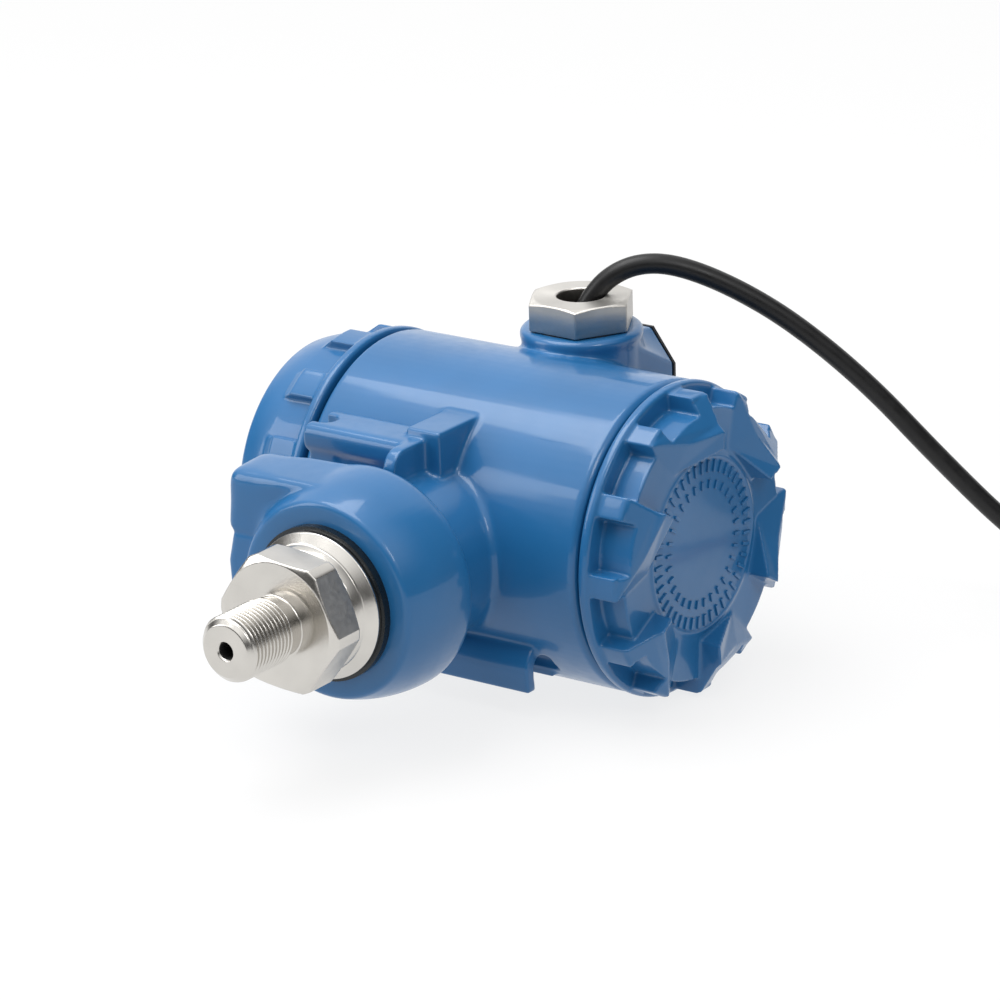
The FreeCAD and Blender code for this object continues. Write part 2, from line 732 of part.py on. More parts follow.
def display_cover():
    """Longer cover with raised bars beside its flange and a round window in its end."""
    tip = BARREL_END - BARREL_EDGE
    run = tip - BARREL_SHOULDER
    start = BARREL_R - BARREL_TAPER
    drop = start - BARREL_TIP_R
    chord = math.hypot(run, drop)
    body = cover_blank([
        (FLANGE_T, FLANGE_R - 0.6),
        (FLANGE_T, BARREL_R),
        (BARREL_SHOULDER, start),
        (BARREL_SHOULDER + run / 2.0 + BARREL_BULGE * drop / chord,
         start - drop / 2.0 + BARREL_BULGE * run / chord, tip, BARREL_TIP_R),
        (BARREL_END - 0.3 * BARREL_EDGE, BARREL_TIP_R - 0.4 * BARREL_EDGE,
         BARREL_END, BARREL_TIP_R - BARREL_EDGE),
        (BARREL_END, 0),
    ], BARREL_END - WINDOW_LIP_T, SKIRT_BORE_R)
    step = 360.0 / RIDGE_COUNT
    body = body.fuse([bar(step * k + DISPLAY_PHASE) for k in range(RIDGE_COUNT)])
    window = turned_x([
        (0, 0),
        (0, WINDOW_R),
        (BARREL_END - 1.2, WINDOW_R),
        (BARREL_END + 1.0, WINDOW_R + 2.2),
        (BARREL_END + 1.0, 0),
    ])
    return body.cut(window).removeSplitter()


def flat_ring(x0, x1, r_in, r_out):
    """A flat ring about the barrel axis."""
    return turned_x([(x0, r_in), (x0, r_out), (x1, r_out), (x1, r_in)])


def window_parts():
    """Gasket, glass and threaded ring behind the window lip."""
    seat = BARREL_END - WINDOW_LIP_T
    gasket = flat_ring(seat - WINDOW_GASKET_T, seat, WINDOW_R + 0.5, GLASS_R)
    pane_front = seat - WINDOW_GASKET_T
    pane = rod(GLASS_R, V(pane_front - GLASS_T, 0, 0), V(pane_front, 0, 0))
    back = pane_front - GLASS_T
    ring = flat_ring(back - WINDOW_RING_T, back, WINDOW_RING_BORE_R, WINDOW_RING_R)
    return gasket, pane, ring


def ring_seal():
    """Round seal in the groove of a cover's skirt."""
    middle = (GROOVE_R + MOUTH_R) / 2.0
    return Part.makeTorus(middle, RING_SEAL_R, V(-GROOVE_W / 2.0, 0, 0), RIGHT)


def on_terminal_side(shape):
    """Place a cover piece on the terminal end of the barrel."""
    return shape.translated(V(TERMINAL_END + SEAM_GAP, 0, 0))


def on_display_side(shape):
    """Place a cover piece on the display end of the barrel."""
    turned = shape.copy()
    turned.rotate(V(0, 0, 0), UP, 180)
    return turned.translated(V(DISPLAY_END - SEAM_GAP, 0, 0))


def process_fitting():
    """Turned steel fitting with collar, hexagon, process thread and the bore for the sensor."""
    hex_r = HEX_FLATS / math.sqrt(3.0)
    low = HEX_FLATS / 2.0 - 0.4
    bar = hexagon(HEX_FLATS, HEX_TURN, lambda u, v: V(u, -HEX_BACK, v), V(0, HEX_BACK - SHOULDER, 0))
    bar = bar.common(turned_y([
        (HEX_BACK - 1.0, 0),
        (HEX_BACK, low),
        (HEX_BACK + HEX_CHAMFER, hex_r + 0.2),
        (SHOULDER - HEX_CHAMFER, hex_r + 0.2),
        (SHOULDER, low),
        (SHOULDER, 0),
    ]))
    tip = SHOULDER + THREAD_LEN
    turned = turned_y([
        (SPIGOT_END, 0),
        (SPIGOT_END, SPIGOT_R - 1.0),
        (SPIGOT_END + 1.0, SPIGOT_R),
        (COLLAR_BACK, SPIGOT_R),
        (COLLAR_BACK, COLLAR_R - 0.4),
        (COLLAR_BACK + 0.4, COLLAR_R),
        (COLLAR_FRONT - 0.6, COLLAR_R),
        (COLLAR_FRONT, COLLAR_R - 0.6),
        (COLLAR_FRONT, STEP_R),
        (HEX_BACK + 2.0, STEP_R - 1.6),
        (HEX_BACK + 2.0, THREAD_R),
        (tip - THREAD_TIP, THREAD_R),
        (tip, THREAD_R - THREAD_TIP),
        (tip, 0),
    ])
    bore = turned_y([
        (SPIGOT_END - 1.0, 0),
        (SPIGOT_END - 1.0, CELL_BORE_R),
        (CELL_BORE_END, CELL_BORE_R),
        (CELL_BORE_END, SEAL_SLOT_OUT),
        (CELL_BORE_END + SEAL_SLOT_DEPTH, SEAL_SLOT_OUT),
        (CELL_BORE_END + SEAL_SLOT_DEPTH, SEAL_SLOT_IN),
        (CELL_BORE_END, SEAL_SLOT_IN),
        (CELL_BORE_END, PORT_R),
        (tip - PORT_SINK, PORT_R),
        (tip + 0.5, PORT_R + PORT_SINK + 0.5),
        (tip + 0.5, 0),
    ])
    return turned.fuse(bar).cut(bore).removeSplitter()


def sensor_parts():
    """Pressure cell, its seal, the ring that holds it and its wires to the board."""
    seal_r = (SEAL_SLOT_DEPTH - FLAT_GAP) / 2.0
    slot_mid = (SEAL_SLOT_IN + SEAL_SLOT_OUT) / 2.0
    seal = Part.makeTorus(slot_mid, seal_r, V(0, -(CELL_BORE_END + SEAL_SLOT_DEPTH / 2.0), 0), FRONT)
    front = CELL_BORE_END - FLAT_GAP
    back = front - CELL_T
    cell = turned_y([(front, 0), (front, CELL_R), (back, CELL_R), (back, 0)])
    held = back - FLAT_GAP
    ring = turned_y([
        (held, RETAINER_BORE_R),
        (held, RETAINER_R),
        (held - RETAINER_T, RETAINER_R),
        (held - RETAINER_T, RETAINER_BORE_R),
    ])
    wires = []
    for k in range(SENSOR_WIRE_COUNT):
        z = (k - (SENSOR_WIRE_COUNT - 1) / 2.0) * SENSOR_WIRE_PITCH
        route = [
            V(0, -back, z),
            V(SENSOR_WIRE_R, 2.0 - SPIGOT_END, z),
            V(0, -CHAMBER_R - 5.0, z),
            V(-2.0, 8.0 - CHAMBER_R, z),
            V(BOARD_BACK + SENSOR_WIRE_LANDING, -SENSOR_WIRE_SPOT, z),
            V(BOARD_BACK, -SENSOR_WIRE_SPOT, z),
        ]
        wires.append(tube(route, SENSOR_WIRE_R)[0])
    return seal, cell, ring, Part.makeCompound(wires)


def circle_spots(first):
    """Three places on the post circle, as (y, z)."""
    spots = []
    for k in range(3):
        a = math.radians(first + 120.0 * k)
        spots.append((POST_CIRCLE * math.cos(a), POST_CIRCLE * math.sin(a)))
    return spots


def pan_screw(x, y, z, way, shank_r, bite, head_r, head_t):
    """A screw whose head sits on the plane x and points along way (+1 or -1)."""
    shank = rod(shank_r, V(x - way * bite, y, z), V(x + way * 0.2, y, z))
    head = rod(head_r, V(x, y, z), V(x + way * head_t, y, z))
    slot = block(-head_r, head_r, -0.4, 0.4, -head_r - 1.0, head_r + 1.0)
    slot.translate(V(x + way * (head_t + head_r - 0.9), y, z))
    return shank.fuse(head).cut(slot).removeSplitter()


def board_parts():
    """Circuit board on three posts, with its parts and screws."""
    front = BOARD_BACK - BOARD_T
    spots = circle_spots(0.0)
    board = rod(BOARD_R, V(front, 0, 0), V(BOARD_BACK, 0, 0))
    board = board.cut([rod(SCREW_HOLE_R, V(front - 1, y, z), V(BOARD_BACK + 1, y, z)) for y, z in spots])
    posts = []
    screws = []
    for y, z in spots:
        post = rod(POST_R, V(BOARD_BACK, y, z), V(WALL_LEFT, y, z))
        posts.append(post.cut(rod(POST_BORE_R, V(BOARD_BACK - 1, y, z), V(BOARD_BACK + SCREW_BITE, y, z))))
        screws.append(pan_screw(front, y, z, -1, SCREW_SHANK_R, SCREW_BITE, SCREW_HEAD_R, SCREW_HEAD_T))
    chips = [block(front - height, front, *limits) for height, *limits in CHIPS]
    chips.append(rod(CAN_R, V(front, CAN_Y, CAN_Z), V(front - CAN_T, CAN_Y, CAN_Z)))
    return board, Part.makeCompound(posts), Part.makeCompound(screws), Part.makeCompound(chips)


def display_parts():
    """Display module on three spacers in front of the board."""
    board_front = BOARD_BACK - BOARD_T
    front = DISPLAY_BACK - DISPLAY_T
    spots = circle_spots(60.0)
    seat = front + PANEL_T + 0.4
    case = rod(DISPLAY_R, V(front, 0, 0), V(DISPLAY_BACK, 0, 0))
    half_w = PANEL_W / 2.0 + PANEL_GAP
    half_h = PANEL_H / 2.0 + PANEL_GAP
    case = case.cut([block(front - 1.0, seat, -half_w, half_w, -half_h, half_h)]
                    + [rod(SCREW_HOLE_R, V(front - 1, y, z), V(DISPLAY_BACK + 1, y, z)) for y, z in spots])
    panel = block(seat - PANEL_T, seat, -PANEL_W / 2.0, PANEL_W / 2.0, -PANEL_H / 2.0, PANEL_H / 2.0)
    spacers = []
    screws = []
    for y, z in spots:
        spacer = rod(POST_R, V(DISPLAY_BACK, y, z), V(board_front, y, z))
        bite = DISPLAY_T + SCREW_BITE
        hole = rod(POST_BORE_R, V(DISPLAY_BACK - 1, y, z), V(DISPLAY_BACK + SCREW_BITE, y, z))
        spacers.append(spacer.cut(hole))
        screws.append(pan_screw(front, y, z, -1, SCREW_SHANK_R, bite, SCREW_HEAD_R, SCREW_HEAD_T))
    return case, panel, Part.makeCompound(spacers), Part.makeCompound(screws)


def wall_parts():
    """Sealed bush through the dividing wall and the pins in it."""
    places = []
    for k in range(3):
        a = math.radians(90.0 + 120.0 * k)
        places.append((PIN_CIRCLE * math.cos(a), PIN_CIRCLE * math.sin(a)))
    bush = turned_x([
        (WALL_LEFT - BUSH_FLANGE_T, 0),
        (WALL_LEFT - BUSH_FLANGE_T, BUSH_FLANGE_R),
        (WALL_LEFT, BUSH_FLANGE_R),
        (WALL_LEFT, BUSH_R),
        (WALL_RIGHT, BUSH_R),
        (WALL_RIGHT, 0),
    ])
    bush = bush.cut([rod(PIN_BORE_R, V(0, y, z), V(WALL_RIGHT + 1.0, y, z)) for y, z in places])
    start = WALL_LEFT - BUSH_FLANGE_T - PIN_REACH
    pins = [rod(PIN_R, V(start, y, z), V(WALL_RIGHT - 0.2, y, z)) for y, z in places]
    return bush, Part.makeCompound(pins)


def terminal_parts():
    """Terminal block with clamps, screws and its fixings; also the inner earth screw."""
    front = WALL_RIGHT + BLOCK_T
    seat = front - POLE_SLOT_T
    poles = [POLE_PITCH * k for k in (-1, 0, 1)]
    body = block(WALL_RIGHT, front, -BLOCK_W / 2.0, BLOCK_W / 2.0, BLOCK_BOTTOM, BLOCK_TOP)
    cuts = []
    clamps = []
    screws = []
    for y in poles:
        side = POLE_SLOT_W / 2.0
        cuts.append(block(seat, front + 1.0, y - side, y + side, -4.0, BLOCK_TOP + 1.0))
        cuts.append(rod(POLE_BORE_R, V(seat - POLE_BITE, y, POLE_Z), V(front + 1.0, y, POLE_Z)))
        half = CLAMP_SIDE / 2.0
        clamp = block(seat, seat + CLAMP_T, y - half, y + half, POLE_Z - half, POLE_Z + half)
        clamps.append(clamp.cut(rod(POLE_BORE_R, V(seat - 1.0, y, POLE_Z), V(front, y, POLE_Z))))
        screws.append(pan_screw(seat + CLAMP_T, y, POLE_Z, 1, POLE_SHANK_R, POLE_BITE,
                                POLE_HEAD_R, POLE_HEAD_T))
    sink = front - FIX_SINK_T
    fixings = []
    for y in (-FIX_Y, FIX_Y):
        cuts.append(rod(FIX_SINK_R, V(sink, y, FIX_Z), V(front + 1.0, y, FIX_Z)))
        cuts.append(rod(SCREW_HOLE_R, V(WALL_RIGHT - 1.0, y, FIX_Z), V(front, y, FIX_Z)))
        bite = sink - WALL_RIGHT + FIX_BITE - 0.2
        fixings.append(pan_screw(sink, y, FIX_Z, 1, SCREW_SHANK_R, bite, SCREW_HEAD_R, SCREW_HEAD_T))
    earth = pan_screw(WALL_RIGHT, EARTH_Y, EARTH_Z, 1, POLE_SHANK_R, EARTH_BITE - 0.3,
                      EARTH_HEAD_R, EARTH_HEAD_T)
    return (body.cut(cuts).removeSplitter(), Part.makeCompound(clamps), Part.makeCompound(screws),
            Part.makeCompound(fixings), earth)


def gland_parts():
    """Hexagonal cable gland, the flat seal under it and the potting that holds the cable."""
    base = BOSS_TOP + GLAND_SEAL_T
    top = base + GLAND_HEX_H
    corner = GLAND_FLATS / math.sqrt(3.0)
    nut = hexagon(GLAND_FLATS, GLAND_TURN, lambda u, v: V(BOSS_X + u, BOSS_Y + v, base), V(0, 0, GLAND_HEX_H))
    nut = nut.common(turned_z([
        (base, 0),
        (base, corner + 0.5),
        (top - GLAND_CHAMFER, corner + 0.1),
        (top, GLAND_FLATS / 2.0 - 0.4),
        (top, 0),
    ], BOSS_X, BOSS_Y))
    spigot = rod(GLAND_SPIGOT_R, on_boss(GLAND_SPIGOT_END), on_boss(base + 0.5))
    bore = turned_z([
        (GLAND_SPIGOT_END - 1.0, 0),
        (GLAND_SPIGOT_END - 1.0, GLAND_BORE_R),
        (top - GLAND_SINK, GLAND_BORE_R),
        (top + 0.5, GLAND_BORE_R + GLAND_SINK + 0.5),
        (top + 0.5, 0),
    ], BOSS_X, BOSS_Y)
    gland = nut.fuse(spigot).cut(bore).removeSplitter()
    seal = turned_z([
        (BOSS_TOP, GLAND_SEAL_IN),
        (BOSS_TOP, GLAND_SEAL_R),
        (base, GLAND_SEAL_R),
        (base, GLAND_SEAL_IN),
    ], BOSS_X, BOSS_Y)
    potting = rod(POTTING_R, on_boss(GLAND_SPIGOT_END), on_boss(POTTING_TOP))
    return gland, seal, potting


def heading(deg, length=1.0):
    """A level vector at an angle from +X towards +Y."""
    a = math.radians(deg)
    return V(length * math.cos(a), length * math.sin(a), 0)


def cable_point(step, z):
    """A point of the cable's upright plane through the gland."""
    return on_boss(z) + heading(CABLE_HEADING, step)


def cable_parts():
    """Cable to the coil, the coil, its tie, the free end with its leads, and the cores inside."""
    cable, length, radii = tube([cable_point(*p) for p in CABLE_ROUTE], CABLE_R)
    print("cable bends", [round(r, 1) for r in radii])
    print("cable volume over section x length", round(cable.Volume / (math.pi * CABLE_R ** 2 * length), 4))

    last = CABLE_ROUTE[-1][0]
    middle = on_boss(FLOOR_Z) + heading(CABLE_HEADING, last)
    middle += heading(CABLE_HEADING + 90.0, COIL_ENTRY_R)
    r_in = COIL_MID_R - COIL_WIDTH / 2.0
    r_out = COIL_MID_R + COIL_WIDTH / 2.0
    soft = CABLE_R
    low = TIE_T + TIE_GAP
    high = low + COIL_HEIGHT
    coil = turned_z([
        (low, r_in + soft),
        (low + soft, r_in),
        (high - soft, r_in),
        (high, r_in + 2.0 * soft),
        (high, r_out - 2.0 * soft),
        (high - soft, r_out),
        (low + soft, r_out),
        (low, r_out - soft),
    ])
    coil.translate(middle)

    wrap = TIE_GAP + TIE_T
    tie = block(r_in - wrap, r_out + wrap, -TIE_W / 2.0, TIE_W / 2.0, 0.0, high + wrap)
    tie = tie.cut(block(r_in - TIE_GAP, r_out + TIE_GAP, -TIE_W, TIE_W, TIE_T, high + TIE_GAP))
    lock = block(r_out + TIE_GAP, r_out + wrap + 2.6, -TIE_W * 0.8, TIE_W * 0.8, 3.0, 8.0)
    tie = tie.fuse(lock).removeSplitter()
    tie.rotate(V(0, 0, 0), UP, TIE_DEG)
    tie.translate(middle)

    ahead = heading(TAIL_DEG + 90.0)
    side = heading(TAIL_DEG + 180.0)
    start = middle + heading(TAIL_DEG, TAIL_R) + UP * CABLE_R
    end = start + ahead * TAIL_LEN
    bow = [start, start + ahead * (0.3 * TAIL_LEN) + side * 0.3, start + ahead * (0.6 * TAIL_LEN), end]
    tail, tail_length, tail_radii = tube(bow, CABLE_R)
    leads = []
    ferrules = []
    for way in (-1.0, 1.0):
        root = end + side * (way * LEAD_BESIDE)
        tip = root + ahead * LEAD_LEN + side * (way * LEAD_SPREAD) - UP * (CABLE_R - FERRULE_R)
        bend = root + ahead * (0.65 * LEAD_LEN) + side * (way * 0.45 * LEAD_SPREAD)
        bend -= UP * (CABLE_R - FERRULE_R)
        route = [root, root + ahead * (0.3 * LEAD_LEN), bend, tip]
        leads.append(tube(route, LEAD_R)[0])
        point = tip - route[2]
        point.normalize()
        ferrules.append(rod(FERRULE_R, tip, tip + point * FERRULE_LEN))
    seat = WALL_RIGHT + BLOCK_T - POLE_SLOT_T
    way_line = WAY_END - WAY_START
    way_line.normalize()
    beside = way_line.cross(UP)
    beside.normalize()
    cores = []
    for way in (-1.0, 1.0):
        off = beside * (way * CORE_BESIDE)
        stop = V(seat + CORE_R + 0.3, way * POLE_PITCH, POLE_Z + CLAMP_SIDE / 2.0 + 0.3)
        route = [
            WAY_START + way_line * ((WAY_START.z - GLAND_SPIGOT_END + CORE_CLEAR) / -way_line.z) + off,
            WAY_END - way_line + off,
            *CORE_BENDS[way],
            V(stop.x + 1.4, stop.y, BLOCK_TOP + 0.7),
            stop,
        ]
        cores.append(tube(route, CORE_R)[0])
    print("cable length to coil", round(length, 1), "free end", round(tail_length, 1), tail_radii)
    return (cable, coil, tie, tail, Part.makeCompound(leads), Part.makeCompound(ferrules),
            Part.makeCompound(cores))


def save(name, shape):
    """Write one node in the part's own frame."""
    moved = shape.translated(V(0, SHOULDER, 0))
    solids = moved.Solids
    print(f"{name:22s} solids {len(solids)} valid {moved.isValid()} volume {moved.Volume:.1f}")
    moved.exportStep(f"parts/{name}.step")


def main():
    os.makedirs("parts", exist_ok=True)
    save("housing", housing())
    save("terminal_cover", on_terminal_side(terminal_cover()))
    save("terminal_cover_seal", on_terminal_side(ring_seal()))
    save("display_cover", on_display_side(display_cover()))
    save("display_cover_seal", on_display_side(ring_seal()))
    for name, shape in zip(("window_gasket", "window_glass", "window_ring"), window_parts()):
        save(name, on_display_side(shape))
    save("process_fitting", process_fitting())
    save("fitting_gasket", turned_y([
        (BELL_FACE, GASKET_BORE_R),
        (BELL_FACE, GASKET_R),
        (COLLAR_BACK, GASKET_R),
        (COLLAR_BACK, GASKET_BORE_R),
    ]))
    groups = (
        (("sensor_seal", "sensor_cell", "sensor_retainer", "sensor_wires"), sensor_parts()),
        (("circuit_board", "board_posts", "board_screws", "board_components"), board_parts()),
        (("display_case", "display_panel", "display_spacers", "display_screws"), display_parts()),
        (("wall_bush", "wall_pins"), wall_parts()),
        (("terminal_block", "terminal_clamps", "terminal_screws", "block_screws", "earth_screw"),
         terminal_parts()),
        (("cable_gland", "gland_seal", "cable_potting"), gland_parts()),
        (("cable", "cable_coil", "coil_tie", "cable_end", "end_leads", "end_ferrules", "cable_cores"),
         cable_parts()),
    )
    for names, shapes in groups:
        for name, shape in zip(names, shapes):
            save(name, shape)
    save("rear_plate", rear_plate())


main()
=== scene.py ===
import math

import bmesh
import bpy
import numpy as np
from bpy.props import FloatProperty, FloatVectorProperty, IntProperty, PointerProperty
from mathutils import Matrix, Vector


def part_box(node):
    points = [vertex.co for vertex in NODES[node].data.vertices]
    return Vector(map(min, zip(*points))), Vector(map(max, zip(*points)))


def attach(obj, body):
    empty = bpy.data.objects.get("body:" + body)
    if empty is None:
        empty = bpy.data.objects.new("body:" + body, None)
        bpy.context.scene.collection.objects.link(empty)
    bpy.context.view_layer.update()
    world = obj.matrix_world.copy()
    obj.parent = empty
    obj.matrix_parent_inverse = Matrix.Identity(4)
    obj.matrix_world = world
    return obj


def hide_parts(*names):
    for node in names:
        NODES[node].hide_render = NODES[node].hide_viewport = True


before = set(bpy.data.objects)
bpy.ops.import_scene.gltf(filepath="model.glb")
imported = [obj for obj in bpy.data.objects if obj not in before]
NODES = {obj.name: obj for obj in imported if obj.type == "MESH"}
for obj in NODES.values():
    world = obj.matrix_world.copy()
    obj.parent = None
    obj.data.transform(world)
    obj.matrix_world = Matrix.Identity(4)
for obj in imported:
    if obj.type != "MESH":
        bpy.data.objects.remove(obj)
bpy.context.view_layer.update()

bl_info = {
    "name": "Pressure Transmitter Head",
    "version": (1, 0, 0),
    "blender": (4, 5, 0),
    "location": "3D View > Sidebar > Transmitter",
    "description": "Dresses a pressure transmitter head with paint, steel, a window and its cable",
    "category": "Object",
}

# The frame's origin is the shoulder of the process thread; the barrel axis lies this far behind it
BARREL_Y = 0.098
BOSS_X = 0.0043
BOSS_Y = BARREL_Y + 0.025
FLOOR_Z = -0.0398

# Bounds in the housing: its two bores, its outer skin and the wing beside the neck
NECK_BORE_R = 0.0156
NECK_BORE_END_Y = 0.05
BOSS_BORE_R = 0.0106
BOSS_BORE_START_Z = 0.02
SKIN_R = 0.0391
WING_START_X = -0.018
WING_START_Z = 0.013
WING_END_Y = 0.046
WING_FADE = 0.006

# Bounds on the covers, and how far the marked face lies inside the outer end
COVER_SEAM_X = 0.0401
COVER_INNER_R = 0.0295
TERMINAL_FACE_X = 0.0555
MARKED_FACE_DEPTH = 0.0062

# Process fitting: distances run from the shoulder towards the tip, so the collar's are negative
PROCESS_FLATS = 0.032
PROCESS_CORNER_DEG = -6.0
PROCESS_LAND_R = 0.01775
HEXAGON_BACK = -0.0100
SPIGOT_R = 0.01495
SPIGOT_BORE_R = 0.0100
COLLAR_BACK = -0.0166
COLLAR_PROFILE = (
    (COLLAR_BACK, 0.0183), (-0.0165, 0.0184), (-0.0163, 0.0185), (-0.0154, 0.0185),
    (-0.01525, 0.01845), (-0.01515, 0.0183), (-0.0150, 0.01815), (-0.0135, 0.01635),
    (-0.01335, 0.0162), (-0.0133, 0.0160), (-0.0131, 0.0159), (-0.0103, 0.0159), (-0.01002, 0.0157),
)
PORT_R = 0.0020
PORT_END = -0.0140

# Cable gland
GLAND_FLATS = 0.0249
GLAND_CORNER_DEG = -1.7
GLAND_HEIGHT = 0.0075
GLAND_SPIGOT_R = 0.00992
GLAND_BORE_R = 0.00615

# Chamfer of the hexagons: rows of points along it, and the length that they cover
CHAMFER_ROWS = 10
CHAMFER_SPAN = 0.0016
CHAMFER_BLEND = 0.0003

# Insulation of the wires
RED = (0.30, 0.012, 0.010, 1.0)
BLUE = (0.012, 0.03, 0.22, 1.0)
YELLOW = (0.55, 0.36, 0.02, 1.0)
WHITE = (0.60, 0.60, 0.58, 1.0)

# Light of the sky along a direction: where it changes from and to, and the light at either end
SKY_IN_FRONT = (0.20, 0.80, 0.05, 1.3)
SKY_BEHIND = (0.15, 0.40, 1.1, 0.12)
SKY_FRONT_TO_BACK = (0.05, 0.50, 0.0, 1.0)

# Softboxes: name, place, point that they face, width and height, and watts
SOFTBOXES = (
    ("top_softbox", (-0.25, -0.05, 0.95), (0.0, 0.07, 0.0), (0.80, 0.60), 7.5),
    ("left_softbox", (-0.85, -0.65, 0.45), (0.0, 0.06, 0.0), (0.5, 0.7), 4.5),
    ("right_softbox", (0.82, -0.20, 0.78), (0.03, 0.09, 0.0), (0.28, 0.34), 2.0),
)


# Settings


class PaintSettings(bpy.types.PropertyGroup):
    colour: FloatVectorProperty(
        name="Paint colour", description="Body colour of the painted castings",
        subtype="COLOR", size=4, min=0.0, max=1.0, default=(0.0140, 0.116, 0.290, 1.0))
    roughness: FloatProperty(
        name="Roughness", description="Roughness of the dry paint", subtype="FACTOR",
        min=0.0, max=1.0, default=0.34)
    grain: FloatProperty(
        name="Paint grain", description="Size of the fine unevenness of the sprayed paint",
        unit="LENGTH", default=0.0011)
    body_mesh: FloatProperty(
        name="Housing mesh", description="Size of the faces that round the housing's edges",
        unit="LENGTH", default=0.00045)
    cover_mesh: FloatProperty(
        name="Cover mesh", description="Size of the faces that round the covers' edges",
        unit="LENGTH", default=0.00036)
    rounding: IntProperty(
        name="Edge rounding", description="Smoothing passes over the outer edges", min=0, default=3)
    wing_rounding: IntProperty(
        name="Wing rounding", description="Smoothing passes over the wing beside the neck",
        min=0, default=90)
    filling: IntProperty(
        name="Corner filling", description="Passes that fill the inner corners of the casting",
        min=0, default=12)
    cover_rounding: IntProperty(
        name="Cover rounding", description="Smoothing passes over the covers' edges", min=0, default=2)
    cover_filling: IntProperty(
        name="Cover filling", description="Passes that fill the inner corners of the covers",
        min=0, default=4)


class SteelSettings(bpy.types.PropertyGroup):
    colour: FloatVectorProperty(
        name="Steel colour", description="Colour of the bare stainless steel",
        subtype="COLOR", size=4, min=0.0, max=1.0, default=(0.62, 0.60, 0.565, 1.0))
    roughness: FloatProperty(
        name="Roughness", description="Roughness of the turned faces", subtype="FACTOR",
        min=0.0, max=1.0, default=0.20)
    crest: FloatProperty(
        name="Thread radius", description="Radius over the crests of the process thread",
        unit="LENGTH", default=0.00833)
    pitch: FloatProperty(
        name="Thread pitch", description="Distance between the turns of the process thread",
        unit="LENGTH", default=0.001337)
    depth: FloatProperty(
        name="Thread depth", description="Height of the process thread from root to crest",
        unit="LENGTH", default=0.00078)
    land: FloatProperty(
        name="Plain length", description="Plain length between the shoulder and the thread",
        unit="LENGTH", default=0.0036)
    undercut: FloatProperty(
        name="Undercut", description="Depth of the plain length below the crests",
        unit="LENGTH", default=0.0009)


class CableSettings(bpy.types.PropertyGroup):
    diameter: FloatProperty(
        name="Diameter", description="Outer diameter of the cable", unit="LENGTH", default=0.0052)
    colour: FloatVectorProperty(
        name="Jacket colour", description="Colour of the cable's jacket",
        subtype="COLOR", size=4, min=0.0, max=1.0, default=(0.005, 0.005, 0.0055, 1.0))
    turn_points: IntProperty(
        name="Points per turn", description="Points that shape one turn of the coil", min=12, default=14)


class StageSettings(bpy.types.PropertyGroup):
    floor: FloatVectorProperty(
        name="Floor colour", description="Colour of the floor",
        subtype="COLOR", size=4, min=0.0, max=1.0, default=(0.14, 0.14, 0.14, 1.0))
    glow: FloatProperty(
        name="Floor glow", description="Light of the floor itself, which keeps the shadow faint",
        min=0.0, default=0.80)
    azimuth: FloatProperty(
        name="Azimuth", description="Camera's angle round the upright axis", subtype="ANGLE",
        default=math.radians(36.07))
    elevation: FloatProperty(
        name="Elevation", description="Camera's angle above the horizon", subtype="ANGLE",
        default=math.radians(19.40))
    roll: FloatProperty(
        name="Roll", description="Camera's turn about its own axis", subtype="ANGLE",
        default=math.radians(-1.958))
    place: FloatVectorProperty(
        name="Place", description="Where the camera stands", subtype="XYZ", size=3, unit="LENGTH",
        default=(0.6622, -0.8178, 0.3997))
    lens: FloatProperty(name="Lens", description="Focal length in millimetres", default=170.9)


# Meshes


def show(name, mesh, material=None):
    """Link a mesh or a curve into the scene as a new piece."""
    piece = bpy.data.objects.new(name, mesh)
    bpy.context.scene.collection.objects.link(piece)
    if material is not None:
        piece.data.materials.clear()
        piece.data.materials.append(material)
    return piece


def smooth(mesh):
    """Shade every face smooth."""
    mesh.polygons.foreach_set("use_smooth", [True] * len(mesh.polygons))
    return mesh


def baked(piece):
    """Turn a piece with modifiers into a plain mesh."""
    made = bpy.data.meshes.new_from_object(
        piece.evaluated_get(bpy.context.evaluated_depsgraph_get()))
    piece.modifiers.clear()
    old = piece.data
    piece.data = made
    bpy.data.meshes.remove(old)
    return piece


def merged_copy(node, name):
    """A copy of a CAD node with its loose triangles joined."""
    mesh = NODES[node].data.copy()
    bm = bmesh.new()
    bm.from_mesh(mesh)
    bmesh.ops.remove_doubles(bm, verts=bm.verts, dist=2e-6)
    bm.to_mesh(mesh)
    bm.free()
    mesh.name = name
    return mesh


def coordinates(mesh):
    """Vertices of a mesh as an array."""
    co = np.empty(len(mesh.vertices) * 3, np.float64)
    mesh.vertices.foreach_get("co", co)
    return co.reshape(-1, 3)


